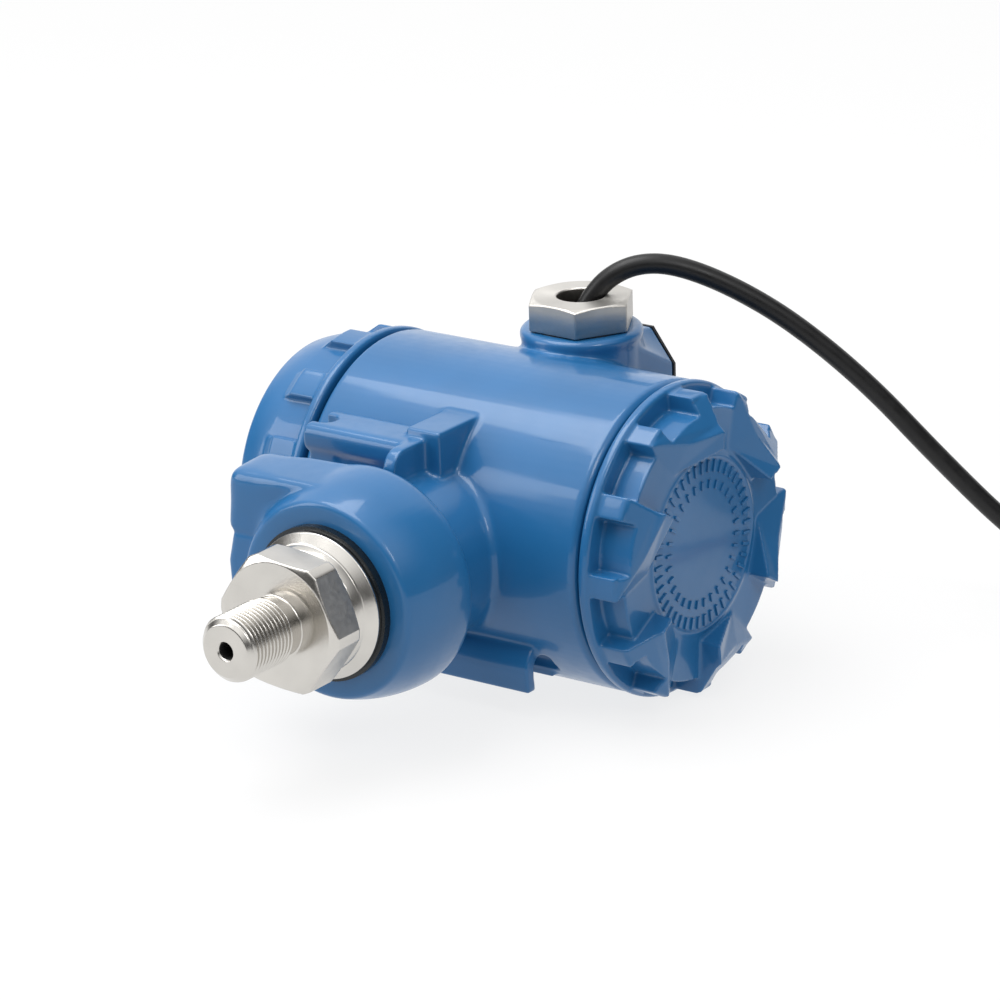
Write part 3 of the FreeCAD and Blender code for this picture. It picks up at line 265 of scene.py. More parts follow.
class Relaxer:
    """Moves the vertices of a mesh towards the middle of their neighbours."""

    def __init__(self, mesh):
        self.mesh = mesh
        self.co = coordinates(mesh)
        ends = np.empty(len(mesh.edges) * 2, np.int64)
        mesh.edges.foreach_get("vertices", ends)
        self.a, self.b = ends.reshape(-1, 2).T
        size = len(self.co)
        touching = np.bincount(self.a, minlength=size) + np.bincount(self.b, minlength=size)
        self.count = np.maximum(touching, 1)

    def pull(self):
        """Vector from each vertex to the middle of its neighbours."""
        total = np.empty_like(self.co)
        size = len(self.co)
        for k in range(3):
            total[:, k] = np.bincount(self.a, self.co[self.b, k], size)
            total[:, k] += np.bincount(self.b, self.co[self.a, k], size)
        return total / self.count[:, None] - self.co

    def round_edges(self, passes, chosen):
        """Soften outer edges and inner corners alike."""
        for _ in range(passes):
            self.co += 0.5 * self.pull() * chosen[:, None]

    def fill_corners(self, passes, chosen):
        """Fill inner corners only, as a casting's radii do."""
        for step in range(passes):
            if step % 5 == 0:
                self.store()
                normals = np.empty(len(self.co) * 3, np.float32)
                self.mesh.vertices.foreach_get("normal", normals)
                normals = normals.reshape(-1, 3)
            pull = self.pull()
            lift = np.einsum("ij,ij->i", pull, normals)
            self.co += 0.5 * pull * (chosen * (lift > 0.0))[:, None]

    def store(self):
        """Write the places back to the mesh."""
        self.mesh.vertices.foreach_set("co", self.co.ravel())
        self.mesh.update()


def remeshed(node, name, voxel):
    """An even mesh of a CAD node, ready to be softened."""
    piece = show(name, merged_copy(node, name))
    even = piece.modifiers.new("even", "REMESH")
    even.mode = "VOXEL"
    even.voxel_size = voxel
    return baked(piece)


def thinned(piece, limit=190000):
    """Bring a piece under a number of triangles."""
    count = sum(len(p.vertices) - 2 for p in piece.data.polygons)
    if count > limit:
        fewer = piece.modifiers.new("fewer", "DECIMATE")
        fewer.ratio = limit / count
        baked(piece)
    smooth(piece.data)
    return piece


def grid_mesh(name, rings, closed):
    """A mesh through rings of equally many points; closed joins the last ring to the first."""
    rows = np.array(rings)
    count, around = rows.shape[:2]
    faces = []
    for i in range(count if closed else count - 1):
        below = i * around
        above = ((i + 1) % count) * around
        for j in range(around):
            k = (j + 1) % around
            faces.append((below + j, below + k, above + k, above + j))
    mesh = bpy.data.meshes.new(name)
    mesh.from_pydata(rows.reshape(-1, 3).tolist(), [], faces)
    bm = bmesh.new()
    bm.from_mesh(mesh)
    bmesh.ops.recalc_face_normals(bm, faces=bm.faces)
    bm.to_mesh(mesh)
    bm.free()
    return smooth(mesh)


def soft_min(a, b, width):
    """The lesser of two lengths, rounded where they meet."""
    near = np.maximum(width - np.abs(a - b), 0.0) / width
    return np.minimum(a, b) - near * near * width * 0.25


# Degrees beside a hexagon's corner at which its columns stand closer together
CORNER_SIDE = (0.3, 0.7, 1.3, 2.2, 4.0, 4.5, 4.8, 5.1, 5.6)
CORNER_STEPS = (*(-step for step in reversed(CORNER_SIDE)), 0.0, *CORNER_SIDE)


def column_angles(base, corners):
    """Angles round a turned hexagon, closer together at its corners."""
    extra = [c + d for c in corners for d in CORNER_STEPS]
    even = [k * 360.0 / base for k in range(base)]
    room = CORNER_STEPS[-1] + 0.4
    kept = [a for a in even if all(abs((a - c + 180.0) % 360.0 - 180.0) > room for c in corners)]
    return np.radians(sorted(a % 360.0 for a in kept + extra))


def hexagon_radius(angles, flats, first_corner, edge):
    """Radius of a hexagon with softened corners at each angle."""
    radius = None
    for k in range(6):
        turn = np.cos(angles - math.radians(first_corner + 30.0 + 60.0 * k))
        reach = np.where(turn > 0.3, flats / 2.0 / np.maximum(turn, 0.3), 1.0)
        radius = reach if radius is None else soft_min(radius, reach, edge)
    return radius


# Finishes


class Finish:
    """A material under construction: one principled shader and the nodes that feed it."""

    def __init__(self, name, **values):
        self.material = bpy.data.materials.new(name)
        self.material.use_nodes = True
        self.tree = self.material.node_tree
        self.tree.nodes.clear()
        self.output = self.tree.nodes.new("ShaderNodeOutputMaterial")
        self.shader = self.tree.nodes.new("ShaderNodeBsdfPrincipled")
        self.tree.links.new(self.shader.outputs[0], self.output.inputs["Surface"])
        self.set(self.shader, **values)
        self.coords = self.tree.nodes.new("ShaderNodeTexCoord").outputs["Object"]

    @staticmethod
    def set(node, **values):
        """Set the values of a node's sockets."""
        for name, value in values.items():
            node.inputs[name.replace("_", " ")].default_value = value

    def add(self, kind, links=(), values=(), **attributes):
        """A node with its attributes, socket values and incoming links."""
        node = self.tree.nodes.new(kind)
        for name, value in attributes.items():
            setattr(node, name, value)
        for socket, value in dict(values).items():
            node.inputs[socket].default_value = value
        for socket, source in dict(links).items():
            self.tree.links.new(source, node.inputs[socket])
        return node

    def feed(self, socket, source):
        """Link a value into the shader."""
        self.tree.links.new(source, self.shader.inputs[socket])

    def noise(self, size, detail=2.0, roughness=0.5, stretch=None):
        """Noise whose features have a size in metres."""
        source = self.coords
        if stretch is not None:
            source = self.add("ShaderNodeMapping", {"Vector": source}, {"Scale": stretch}).outputs[0]
        return self.add("ShaderNodeTexNoise", {"Vector": source},
                        {"Scale": 1.0 / size, "Detail": detail, "Roughness": roughness}).outputs["Fac"]

    def span(self, source, low, high, start=0.3, end=0.7):
        """Map a value between two limits."""
        return self.add("ShaderNodeMapRange", {"Value": source},
                        {"From Min": start, "From Max": end, "To Min": low, "To Max": high}).outputs[0]

    def shade(self, source, dark, light, start=0.3, end=0.7):
        """A colour between two, by a value."""
        ramp = self.add("ShaderNodeValToRGB", {"Fac": source})
        ramp.color_ramp.elements[0].position = start
        ramp.color_ramp.elements[1].position = end
        ramp.color_ramp.elements[0].color = dark
        ramp.color_ramp.elements[1].color = light
        return ramp.outputs["Color"]

    def bump(self, source, distance, strength=1.0, onto=None):
        """Relief of a height in metres."""
        links = {"Height": source}
        if onto is not None:
            links["Normal"] = onto
        return self.add("ShaderNodeBump", links, {"Distance": distance, "Strength": strength}).outputs[0]


def tinted(colour, factor):
    """A colour made lighter or darker."""
    return tuple(min(1.0, c * factor) for c in colour[:3]) + (1.0,)


def paint_finish():
    """Sprayed semi-gloss paint with a fine grain and slight change of tone."""
    s = bpy.context.scene.transmitter_paint
    f = Finish("sprayed_paint", Coat_Weight=0.50, Coat_Roughness=0.09, Specular_IOR_Level=0.25)
    painted_shade = f.noise(0.030, 3.0)
    f.feed("Base Color", f.shade(painted_shade, tinted(s.colour, 0.93), tinted(s.colour, 1.06)))
    f.feed("Roughness", f.span(f.noise(0.004, 3.0), s.roughness - 0.05, s.roughness + 0.06))
    peel = f.bump(f.noise(s.grain, 2.0), 0.000006, 0.5)
    f.feed("Normal", f.bump(f.noise(0.009, 1.0), 0.00005, 0.4, peel))
    return f.material


def steel_finish(name, axis, centre, rough=0.0):
    """Turned stainless steel, its fine marks running round an axis."""
    s = bpy.context.scene.transmitter_steel
    f = Finish(name, Metallic=1.0, Anisotropic=0.7)
    arm = f.add("ShaderNodeVectorMath", {0: f.coords}, operation="SUBTRACT")
    arm.inputs[1].default_value = centre
    round_it = f.add("ShaderNodeVectorMath", {1: arm.outputs[0]}, operation="CROSS_PRODUCT")
    round_it.inputs[0].default_value = axis
    f.feed("Tangent", round_it.outputs[0])
    f.feed("Base Color", f.shade(f.noise(0.010, 2.0), tinted(s.colour, 0.96), tinted(s.colour, 1.04)))
    low = s.roughness + rough
    f.feed("Roughness", f.span(f.noise(0.003, 2.0), low - 0.02, low + 0.03))
    return f.material


def milled_finish(name, along, painted_shade=1.0):
    """Milled flats of a hexagon, with fine marks along one direction. A painted shade below 1 gives the
    flats a darker copy of the steel colour.
    """
    s = bpy.context.scene.transmitter_steel
    f = Finish(name, Metallic=1.0)
    # Painted shade: the steel colour is scaled down for flats that stand in shade
    dark, light = tinted(s.colour, 0.92 * painted_shade), tinted(s.colour, 1.04 * painted_shade)
    f.feed("Base Color", f.shade(f.noise(0.006, 3.0), dark, light))
    f.feed("Roughness", f.span(f.noise(0.0012, 3.0), 0.34, 0.44))
    f.feed("Normal", f.bump(f.noise(0.0005, 2.0, 0.5, along), 0.000006, 0.35))
    return f.material


def second_finish(mesh, material, test):
    """Give the faces whose middle and normal pass a test another finish."""
    count = len(mesh.polygons)
    middle = np.empty(count * 3, np.float32)
    normal = np.empty(count * 3, np.float32)
    mesh.polygons.foreach_get("center", middle)
    mesh.polygons.foreach_get("normal", normal)
    chosen = test(middle.reshape(-1, 3).T, normal.reshape(-1, 3).T)
    slots = np.empty(count, np.int32)
    mesh.polygons.foreach_get("material_index", slots)
    slots[chosen] = len(mesh.materials)
    mesh.materials.append(material)
    mesh.polygons.foreach_set("material_index", slots)


def plain_metal(name, colour, rough):
    """Small plated or brass parts."""
    f = Finish(name, Metallic=1.0)
    f.feed("Base Color", f.shade(f.noise(0.003, 3.0), tinted(colour, 0.88), tinted(colour, 1.08)))
    f.feed("Roughness", f.span(f.noise(0.0012, 2.0), rough - 0.06, rough + 0.08))
    f.feed("Normal", f.bump(f.noise(0.0005, 2.0), 0.00001, 0.4))
    return f.material


def moulded(name, colour, rough, grain=0.0006, relief=0.00001):
    """Moulded plastic or rubber with a fine surface."""
    f = Finish(name, Specular_IOR_Level=0.45)
    f.feed("Base Color", f.shade(f.noise(0.007, 3.0), tinted(colour, 0.85), tinted(colour, 1.15)))
    f.feed("Roughness", f.span(f.noise(0.002, 3.0), rough - 0.05, rough + 0.07))
    f.feed("Normal", f.bump(f.noise(grain, 2.0), relief, 0.5))
    return f.material


def striped(name, way, steps, rough):
    """Wires of several colours in one piece, told apart by their place along a direction."""
    f = Finish(name, Specular_IOR_Level=0.45)
    along = f.add("ShaderNodeVectorMath", {0: f.coords}, operation="DOT_PRODUCT")
    along.inputs[1].default_value = way
    low = steps[0][0]
    high = steps[-1][0] + 0.001
    ramp = f.add("ShaderNodeValToRGB", {"Fac": f.span(along.outputs["Value"], 0.0, 1.0, low, high)})
    ramp.color_ramp.interpolation = "CONSTANT"
    while len(ramp.color_ramp.elements) < len(steps):
        ramp.color_ramp.elements.new(1.0)
    for element, (place, colour) in zip(ramp.color_ramp.elements, steps):
        element.position = (place - low) / (high - low)
        element.color = colour
    f.feed("Base Color", ramp.outputs["Color"])
    f.feed("Roughness", f.span(f.noise(0.002, 2.0), rough - 0.05, rough + 0.05))
    f.feed("Normal", f.bump(f.noise(0.0005, 2.0), 0.000008, 0.4))
    return f.material


def dress(node, material):
    """Give a CAD node a finish."""
    mesh = NODES[node].data
    mesh.materials.clear()
    mesh.materials.append(material)


# Operators


def sky_ramp(tree, source, start, end, low, high):
    """A smooth change of the sky's light along a direction."""
    ramp = tree.nodes.new("ShaderNodeMapRange")
    ramp.interpolation_type = "SMOOTHSTEP"
    for socket, value in (("From Min", start), ("From Max", end), ("To Min", low), ("To Max", high)):
        ramp.inputs[socket].default_value = value
    tree.links.new(source, ramp.inputs["Value"])
    return ramp.outputs[0]


class TRANSMITTER_OT_stage(bpy.types.Operator):
    """Floor, lights and the camera"""

    bl_idname = "transmitter.stage"
    bl_label = "Add Stage"

    def execute(self, context):
        s = context.scene.transmitter_stage
        floor = bpy.data.meshes.new("floor")
        half = 4.0
        floor.from_pydata([(-half, -half, FLOOR_Z), (half, -half, FLOOR_Z), (half, half, FLOOR_Z),
                           (-half, half, FLOOR_Z)], [], [(0, 1, 2, 3)])
        f = Finish("pale_floor", Specular_IOR_Level=0.0, Emission_Color=(1.0, 1.0, 1.0, 1.0),
                   Emission_Strength=s.glow)
        f.feed("Base Color", f.shade(f.noise(0.05, 3.0), tinted(s.floor, 0.99), s.floor))
        f.feed("Roughness", f.span(f.noise(0.01, 2.0), 0.6, 0.7))
        show("floor", floor, f.material)

        world = bpy.data.worlds.new("studio")
        context.scene.world = world
        world.use_nodes = True
        tree = world.node_tree
        sky = tree.nodes["Background"]
        sky.inputs["Strength"].default_value = 1.0
        way = tree.nodes.new("ShaderNodeTexCoord")
        heading = tree.nodes.new("ShaderNodeSeparateXYZ")
        tree.links.new(way.outputs["Generated"], heading.inputs[0])
        around = tree.nodes.new("ShaderNodeMix")
        for socket, axis, change in (
            ("Factor", "Y", SKY_FRONT_TO_BACK), ("A", "Z", SKY_IN_FRONT), ("B", "X", SKY_BEHIND),
        ):
            tree.links.new(sky_ramp(tree, heading.outputs[axis], *change), around.inputs[socket])
        tree.links.new(around.outputs["Result"], sky.inputs["Color"])
        for name, place, aim, size, power in SOFTBOXES:
            light = bpy.data.lights.new(name, "AREA")
            light.shape = "RECTANGLE"
            light.size, light.size_y = size
            light.energy = power
            lamp = bpy.data.objects.new(name, light)
            context.scene.collection.objects.link(lamp)
            lamp.location = place
            lamp.rotation_euler = (Vector(place) - Vector(aim)).to_track_quat("Z", "Y").to_euler()

        sin_a, cos_a = math.sin(s.azimuth), math.cos(s.azimuth)
        sin_e, cos_e = math.sin(s.elevation), math.cos(s.elevation)
        right = Vector((cos_a, sin_a, 0.0))
        up = Vector((-sin_e * sin_a, sin_e * cos_a, cos_e))
        back = Vector((cos_e * sin_a, -cos_e * cos_a, sin_e))
        sin_r, cos_r = math.sin(s.roll), math.cos(s.roll)
        turned = Matrix((cos_r * right + sin_r * up, cos_r * up - sin_r * right, back)).transposed()
        lens = bpy.data.cameras.new("camera")
        lens.lens = s.lens
        lens.sensor_width = 36.0
        lens.clip_start = 0.01
        camera = bpy.data.objects.new("camera", lens)
        context.scene.collection.objects.link(camera)
        camera.matrix_world = Matrix.Translation(s.place) @ turned.to_4x4()
        context.scene.camera = camera
        context.scene.view_settings.view_transform = "Standard"
        return {"FINISHED"}


# Route of the cable: steps along the picture's horizontal from the middle of the gland, then height
CABLE_HEADING = math.radians(36.0)
CABLE_ROUTE = (
    (-0.0010, 0.0348), (-0.0010, 0.0415), (0.0019, 0.0481), (0.0073, 0.0544), (0.0152, 0.0576),
    (0.0248, 0.0567), (0.0385, 0.0506), (0.0540, 0.0404), (0.0725, 0.0236), (0.0900, 0.0034),
    (0.1085, -0.0165), (0.1240, -0.0288), (0.1410, -0.0329), (0.1580, -0.0329),
)
COIL_ENTRY_R = 0.0325
COIL_TIE = math.radians(120.0)
TIE_LIFT = 0.00115
TAIL_DEG = -144.0
TAIL_R = 0.035


def level(angle, length):
    """A level vector at an angle from +X."""
    return Vector((length * math.cos(angle), length * math.sin(angle), 0.0))


def coil_centre():
    """Middle of the coil, on the floor."""
    gland = Vector((BOSS_X, BOSS_Y, FLOOR_Z))
    along = level(CABLE_HEADING, CABLE_ROUTE[-1][0])
    return gland + along + level(CABLE_HEADING + math.pi / 2.0, COIL_ENTRY_R)


def coil_points(diameter, per_turn):
    """Turns of the coil: in along the upper layer, down, and out along the lower one."""
    start = CABLE_HEADING - math.pi / 2.0
    middle = coil_centre()
    low = diameter / 2.0
    high = low + 0.99 * diameter
    upper, drop, lower = 2.5, 0.25, 3.0
    inner = COIL_ENTRY_R - upper * diameter
    shrink = math.cos(math.pi / per_turn)
    points = []
    steps = round((upper + drop + lower) * per_turn)
    for k in range(1, steps + 1):
        turns = k / per_turn
        angle = start + turns * 2.0 * math.pi
        if turns < upper:
            radius, height = COIL_ENTRY_R - diameter * turns, high
        elif turns < upper + drop:
            radius, height = inner, high + (low - high) * (turns - upper) / drop
        else:
            radius, height = inner + diameter * (turns - upper - drop), low
        near = math.cos(angle - COIL_TIE)
        height += TIE_LIFT * max(0.0, (near - 0.75) / 0.25) ** 0.5
        points.append(middle + level(angle, radius / shrink) + Vector((0.0, 0.0, height)))
    return points


class TRANSMITTER_OT_cable(bpy.types.Operator):
    """Cable with its tied coil, the tie, the free leads and their ferrules"""

    bl_idname = "transmitter.cable"
    bl_label = "Add Cable"

    def execute(self, context):
        s = context.scene.transmitter_cable
        gland = Vector((BOSS_X, BOSS_Y, 0.0))
        points = [gland + level(CABLE_HEADING, step) + Vector((0.0, 0.0, z)) for step, z in CABLE_ROUTE]
        points += coil_points(s.diameter, s.turn_points)
        tail = math.radians(TAIL_DEG)
        begin = coil_centre() + level(tail, TAIL_R) + Vector((0.0, 0.0, s.diameter / 2.0))
        points += [begin + level(tail + math.pi / 2.0, reach) for reach in (0.012, 0.026, 0.040)]
        curve = bpy.data.curves.new("cable_line", "CURVE")
        curve.dimensions = "3D"
        line = curve.splines.new("NURBS")
        line.points.add(len(points) - 1)
        for place, point in zip(line.points, points):
            place.co = (*point, 1.0)
        line.order_u = 3
        line.use_endpoint_u = True
        line.resolution_u = 10
        curve.bevel_depth = s.diameter / 2.0
        curve.bevel_resolution = 6
        curve.use_fill_caps = True
        jacket = Finish("cable_jacket", Specular_IOR_Level=0.35)
        dark, light = tinted(s.colour, 0.8), tinted(s.colour, 1.4)
        jacket.feed("Base Color", jacket.shade(jacket.noise(0.012, 3.0), dark, light))
        jacket.feed("Roughness", jacket.span(jacket.noise(0.003, 3.0), 0.34, 0.46))
        jacket.feed("Normal", jacket.bump(jacket.noise(0.0007, 2.0), 0.00001, 0.5))
        cable = show("cable_run", curve, jacket.material)
        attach(cable, "head")
        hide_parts("cable", "cable_coil", "cable_end")
        side = level(tail + math.pi, 1.0)
        split = side.dot(begin)
        dress("end_leads", striped("lead_insulation", side, ((split - 0.02, RED), (split, BLUE)), 0.42))
        dress("end_ferrules", plain_metal("tinned_ferrule", (0.72, 0.70, 0.66, 1.0), 0.3))
        dress("coil_tie", moulded("tie_nylon", (0.02, 0.02, 0.021, 1.0), 0.42))
        bare = curve.copy()
        bare.bevel_depth = 0.0
        probe = bpy.data.objects.new("probe", bare)
        context.scene.collection.objects.link(probe)
        mesh = bpy.data.meshes.new_from_object(probe.evaluated_get(context.evaluated_depsgraph_get()))
        co = coordinates(mesh)
        bpy.data.objects.remove(probe)
        bpy.data.curves.remove(bare)
        bpy.data.meshes.remove(mesh)
        return {"FINISHED"}


class TRANSMITTER_OT_housing(bpy.types.Operator):
    """Painted casting with softened edges and filled inner corners"""

    bl_idname = "transmitter.housing"
    bl_label = "Add Housing"

    def execute(self, context):
        s = context.scene.transmitter_paint
        paint = paint_finish()
        dress("housing", paint)
        piece = remeshed("housing", "housing_casting", s.body_mesh)
        relaxer = Relaxer(piece.data)
        x, y, z = relaxer.co.T
        from_barrel = np.hypot(y - BARREL_Y, z)
        from_neck = np.hypot(x, z)
        from_boss = np.hypot(x - BOSS_X, y - BOSS_Y)
        neck_bore = (from_neck < NECK_BORE_R) & (y < NECK_BORE_END_Y)
        boss_bore = (from_boss < BOSS_BORE_R) & (z > BOSS_BORE_START_Z)
        outer = (from_barrel > SKIN_R) & ~(neck_bore | boss_bore)
        relaxer.fill_corners(s.filling, outer.astype(float))
        outward = np.clip((WING_START_X - x) / WING_FADE, 0.0, 1.0)
        upward = np.clip((z - WING_START_Z) / WING_FADE, 0.0, 1.0)
        relaxer.round_edges(s.wing_rounding, outward * upward * (y < WING_END_Y))
        relaxer.round_edges(s.rounding, np.ones(len(x)))
        relaxer.store()
        thinned(piece)
        piece.data.materials.clear()
        piece.data.materials.append(paint)
        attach(piece, "head")
        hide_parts("housing")
        return {"FINISHED"}


def tick_tree():
    """Plain raised marks set round a circle."""
    tree = bpy.data.node_groups.new("ring_of_marks", "GeometryNodeTree")
    face = tree.interface
    face.new_socket("Geometry", in_out="INPUT", socket_type="NodeSocketGeometry")
    for name, kind in (
        ("Count", "NodeSocketInt"), ("Radius", "NodeSocketFloat"), ("Mark Size", "NodeSocketVector"),
        ("Place", "NodeSocketVector"), ("Finish", "NodeSocketMaterial"),
    ):
        face.new_socket(name, in_out="INPUT", socket_type=kind)
    face.new_socket("Geometry", in_out="OUTPUT", socket_type="NodeSocketGeometry")
    n, link = tree.nodes, tree.links.new
    given = n.new("NodeGroupInput").outputs
    ring = n.new("GeometryNodeMeshCircle")
    link(given["Count"], ring.inputs["Vertices"])
    link(given["Radius"], ring.inputs["Radius"])
    mark = n.new("GeometryNodeMeshCube")
    link(given["Mark Size"], mark.inputs["Size"])
    where = n.new("GeometryNodeInputPosition")
    facing = n.new("FunctionNodeAlignRotationToVector")
    facing.axis = "X"
    link(where.outputs[0], facing.inputs["Vector"])
    spread = n.new("GeometryNodeInstanceOnPoints")
    link(ring.outputs[0], spread.inputs["Points"])
    link(mark.outputs[0], spread.inputs["Instance"])
    link(facing.outputs[0], spread.inputs["Rotation"])
    real = n.new("GeometryNodeRealizeInstances")
    link(spread.outputs[0], real.inputs[0])
    move = n.new("GeometryNodeTransform")
    link(real.outputs[0], move.inputs["Geometry"])
    link(given["Place"], move.inputs["Translation"])
    move.inputs["Rotation"].default_value = (0.0, math.pi / 2.0, 0.0)
    coat = n.new("GeometryNodeSetMaterial")
    link(move.outputs[0], coat.inputs["Geometry"])
    link(given["Finish"], coat.inputs["Material"])
    end = n.new("NodeGroupOutput")
    link(coat.outputs[0], end.inputs[0])
    return tree


def ring_of_marks(name, tree, material, count, radius, size, place):
    """One ring of marks as a plain mesh."""
    piece = show(name, bpy.data.meshes.new(name))
    marks = piece.modifiers.new("marks", "NODES")
    marks.node_group = tree
    values = {"Count": count, "Radius": radius, "Mark Size": size, "Place": place, "Finish": material}
    for socket in tree.interface.items_tree:
        if socket.in_out == "INPUT" and socket.name in values:
            marks[socket.identifier] = values[socket.name]
    edge = piece.modifiers.new("edge", "BEVEL")
    edge.width = 0.00012
    edge.segments = 2
    return baked(piece)


class TRANSMITTER_OT_covers(bpy.types.Operator):
    """Both painted screw covers with softened edges, and plain marks on the terminal cover"""

    bl_idname = "transmitter.covers"
    bl_label = "Add Covers"

    def execute(self, context):
        s = context.scene.transmitter_paint
        paint = bpy.data.materials["sprayed_paint"]
        for node in ("terminal_cover", "display_cover"):
            dress(node, paint)
            piece = remeshed(node, node + "_casting", s.cover_mesh)
            relaxer = Relaxer(piece.data)
            x, y, z = relaxer.co.T
            from_axis = np.hypot(y - BARREL_Y, z)
            outside = (np.abs(x) > COVER_SEAM_X) & (from_axis > COVER_INNER_R)
            if node == "terminal_cover":
                outside = outside | (x > TERMINAL_FACE_X)
            relaxer.fill_corners(s.cover_filling, outside.astype(float))
            relaxer.round_edges(s.cover_rounding, np.ones(len(x)))
            relaxer.store()
            thinned(piece)
            piece.data.materials.clear()
            piece.data.materials.append(paint)
            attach(piece, node)
            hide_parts(node)
        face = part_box("terminal_cover")[1].x - MARKED_FACE_DEPTH
        tree = tick_tree()
        for name, count, radius, size in (
            ("cover_marks", 44, 0.0198, (0.0030, 0.0009, 0.0010)),
            ("cover_inner_marks", 30, 0.0152, (0.0022, 0.0008, 0.0010)),
        ):
            marks = ring_of_marks(name, tree, paint, count, radius, size, (face, BARREL_Y, 0.0))
            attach(marks, "terminal_cover")
        return {"FINISHED"}


class TRANSMITTER_OT_process_fitting(bpy.types.Operator):
    """Turned steel fitting with its hexagon and cut thread"""

    bl_idname = "transmitter.process_fitting"
    bl_label = "Add Process Fitting"

    def execute(self, context):
        s = context.scene.transmitter_steel
        low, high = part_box("process_fitting")
        tip = -low.y
        angles = column_angles(150, [PROCESS_CORNER_DEG + 60.0 * k for k in range(6)])
        ones = np.ones(len(angles))
        flat = hexagon_radius(angles, PROCESS_FLATS, PROCESS_CORNER_DEG, 0.00035)
        flat = soft_min(flat, PROCESS_LAND_R * ones, 0.00012)
        rings = []

        def ring(out, radius):
            """Add a ring of points at a distance from the shoulder."""
            places = (radius * np.cos(angles), -out * ones, radius * np.sin(angles))
            rings.append(np.stack(places, axis=1))

        back = -high.y
        ring(PORT_END, SPIGOT_BORE_R * ones)
        ring(back, SPIGOT_BORE_R * ones)
        ring(back, (SPIGOT_R - 0.0010) * ones)
        ring(back + 0.0010, SPIGOT_R * ones)
        ring(COLLAR_BACK, SPIGOT_R * ones)
        for out, radius in COLLAR_PROFILE:
            ring(out, radius * ones)
        chamfer = 0.0013
        outer = PROCESS_FLATS / 2.0 / math.cos(math.pi / 6.0) + 0.0001
        inner = 0.0156
        for start, edge in ((HEXAGON_BACK, HEXAGON_BACK), (-CHAMFER_SPAN, 0.0)):
            for k in range(CHAMFER_ROWS + 1):
                out = start + CHAMFER_SPAN * k / CHAMFER_ROWS
                cone = inner + (outer - inner) * abs(out - edge) / chamfer
                ring(out, soft_min(flat, cone * ones, CHAMFER_BLEND))
        plain = s.crest - s.undercut
        for radius in (0.01535, 0.0130, 0.0110, 0.0095, plain + 0.0006, plain + 0.0003):
            ring(0.0, radius * ones)
        ring(0.0001, (plain + 0.0001) * ones)
        ring(0.0003, plain * ones)
        first = 0.0004
        last = tip - 0.00012
        tip_r = s.crest - 0.0019
        rows = round((last - first) / (s.pitch / 16.0))
        for k in range(rows + 1):
            out = first + (last - first) * k / rows
            phase = np.mod(out / s.pitch + angles / (2.0 * math.pi), 1.0)
            slope = np.abs(2.0 * phase - 1.0) * 1.5 - 0.25
            groove = np.clip(slope, 0.0, 1.0)
            groove = groove * groove * (3.0 - 2.0 * groove)
            start = np.clip((out - s.land) / (0.7 * s.pitch), 0.0, 1.0)
            radius = plain + (s.crest - plain - s.depth * groove) * start
            cone = tip_r + (tip - out)
            ring(out, soft_min(radius, cone * ones, 0.0002))
        for out, radius in ((tip - 0.00006, tip_r - 0.0002), (tip - 0.00004, tip_r - 0.0004),
                            (tip, tip_r - 0.0010), (tip, tip_r - 0.0012), (tip, 0.0026), (tip, 0.0025),
                            (tip - 0.0001, 0.0024), (tip - 0.0004, 0.0021), (tip - 0.0006, PORT_R),
                            (0.0, PORT_R), (PORT_END, PORT_R)):
            ring(out, radius * ones)
        mesh = grid_mesh("process_fitting_steel", rings, True)
        steel = steel_finish("turned_steel", (0.0, 1.0, 0.0), (0.0, 0.0, 0.0))
        piece = show("process_fitting_turned", mesh, steel)
        second_finish(mesh, milled_finish("milled_steel", (1.0, 0.2, 1.0)),
                      lambda c, n: (np.abs(n[1]) < 0.03) & (c[1] < 0.0099) & (c[1] > 0.0002)
                      & (np.hypot(c[0], c[2]) < PROCESS_LAND_R - 0.00005))
        second_finish(mesh, moulded("bore_shadow", (0.006, 0.006, 0.006, 1.0), 0.7),
                      lambda c, n: np.hypot(c[0], c[2]) < PORT_R + 0.00005)
        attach(piece, "head")
        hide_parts("process_fitting")
        dress("process_fitting", steel)
        dress("fitting_gasket", moulded("black_rubber", (0.005, 0.009, 0.013, 1.0), 0.26))
        return {"FINISHED"}


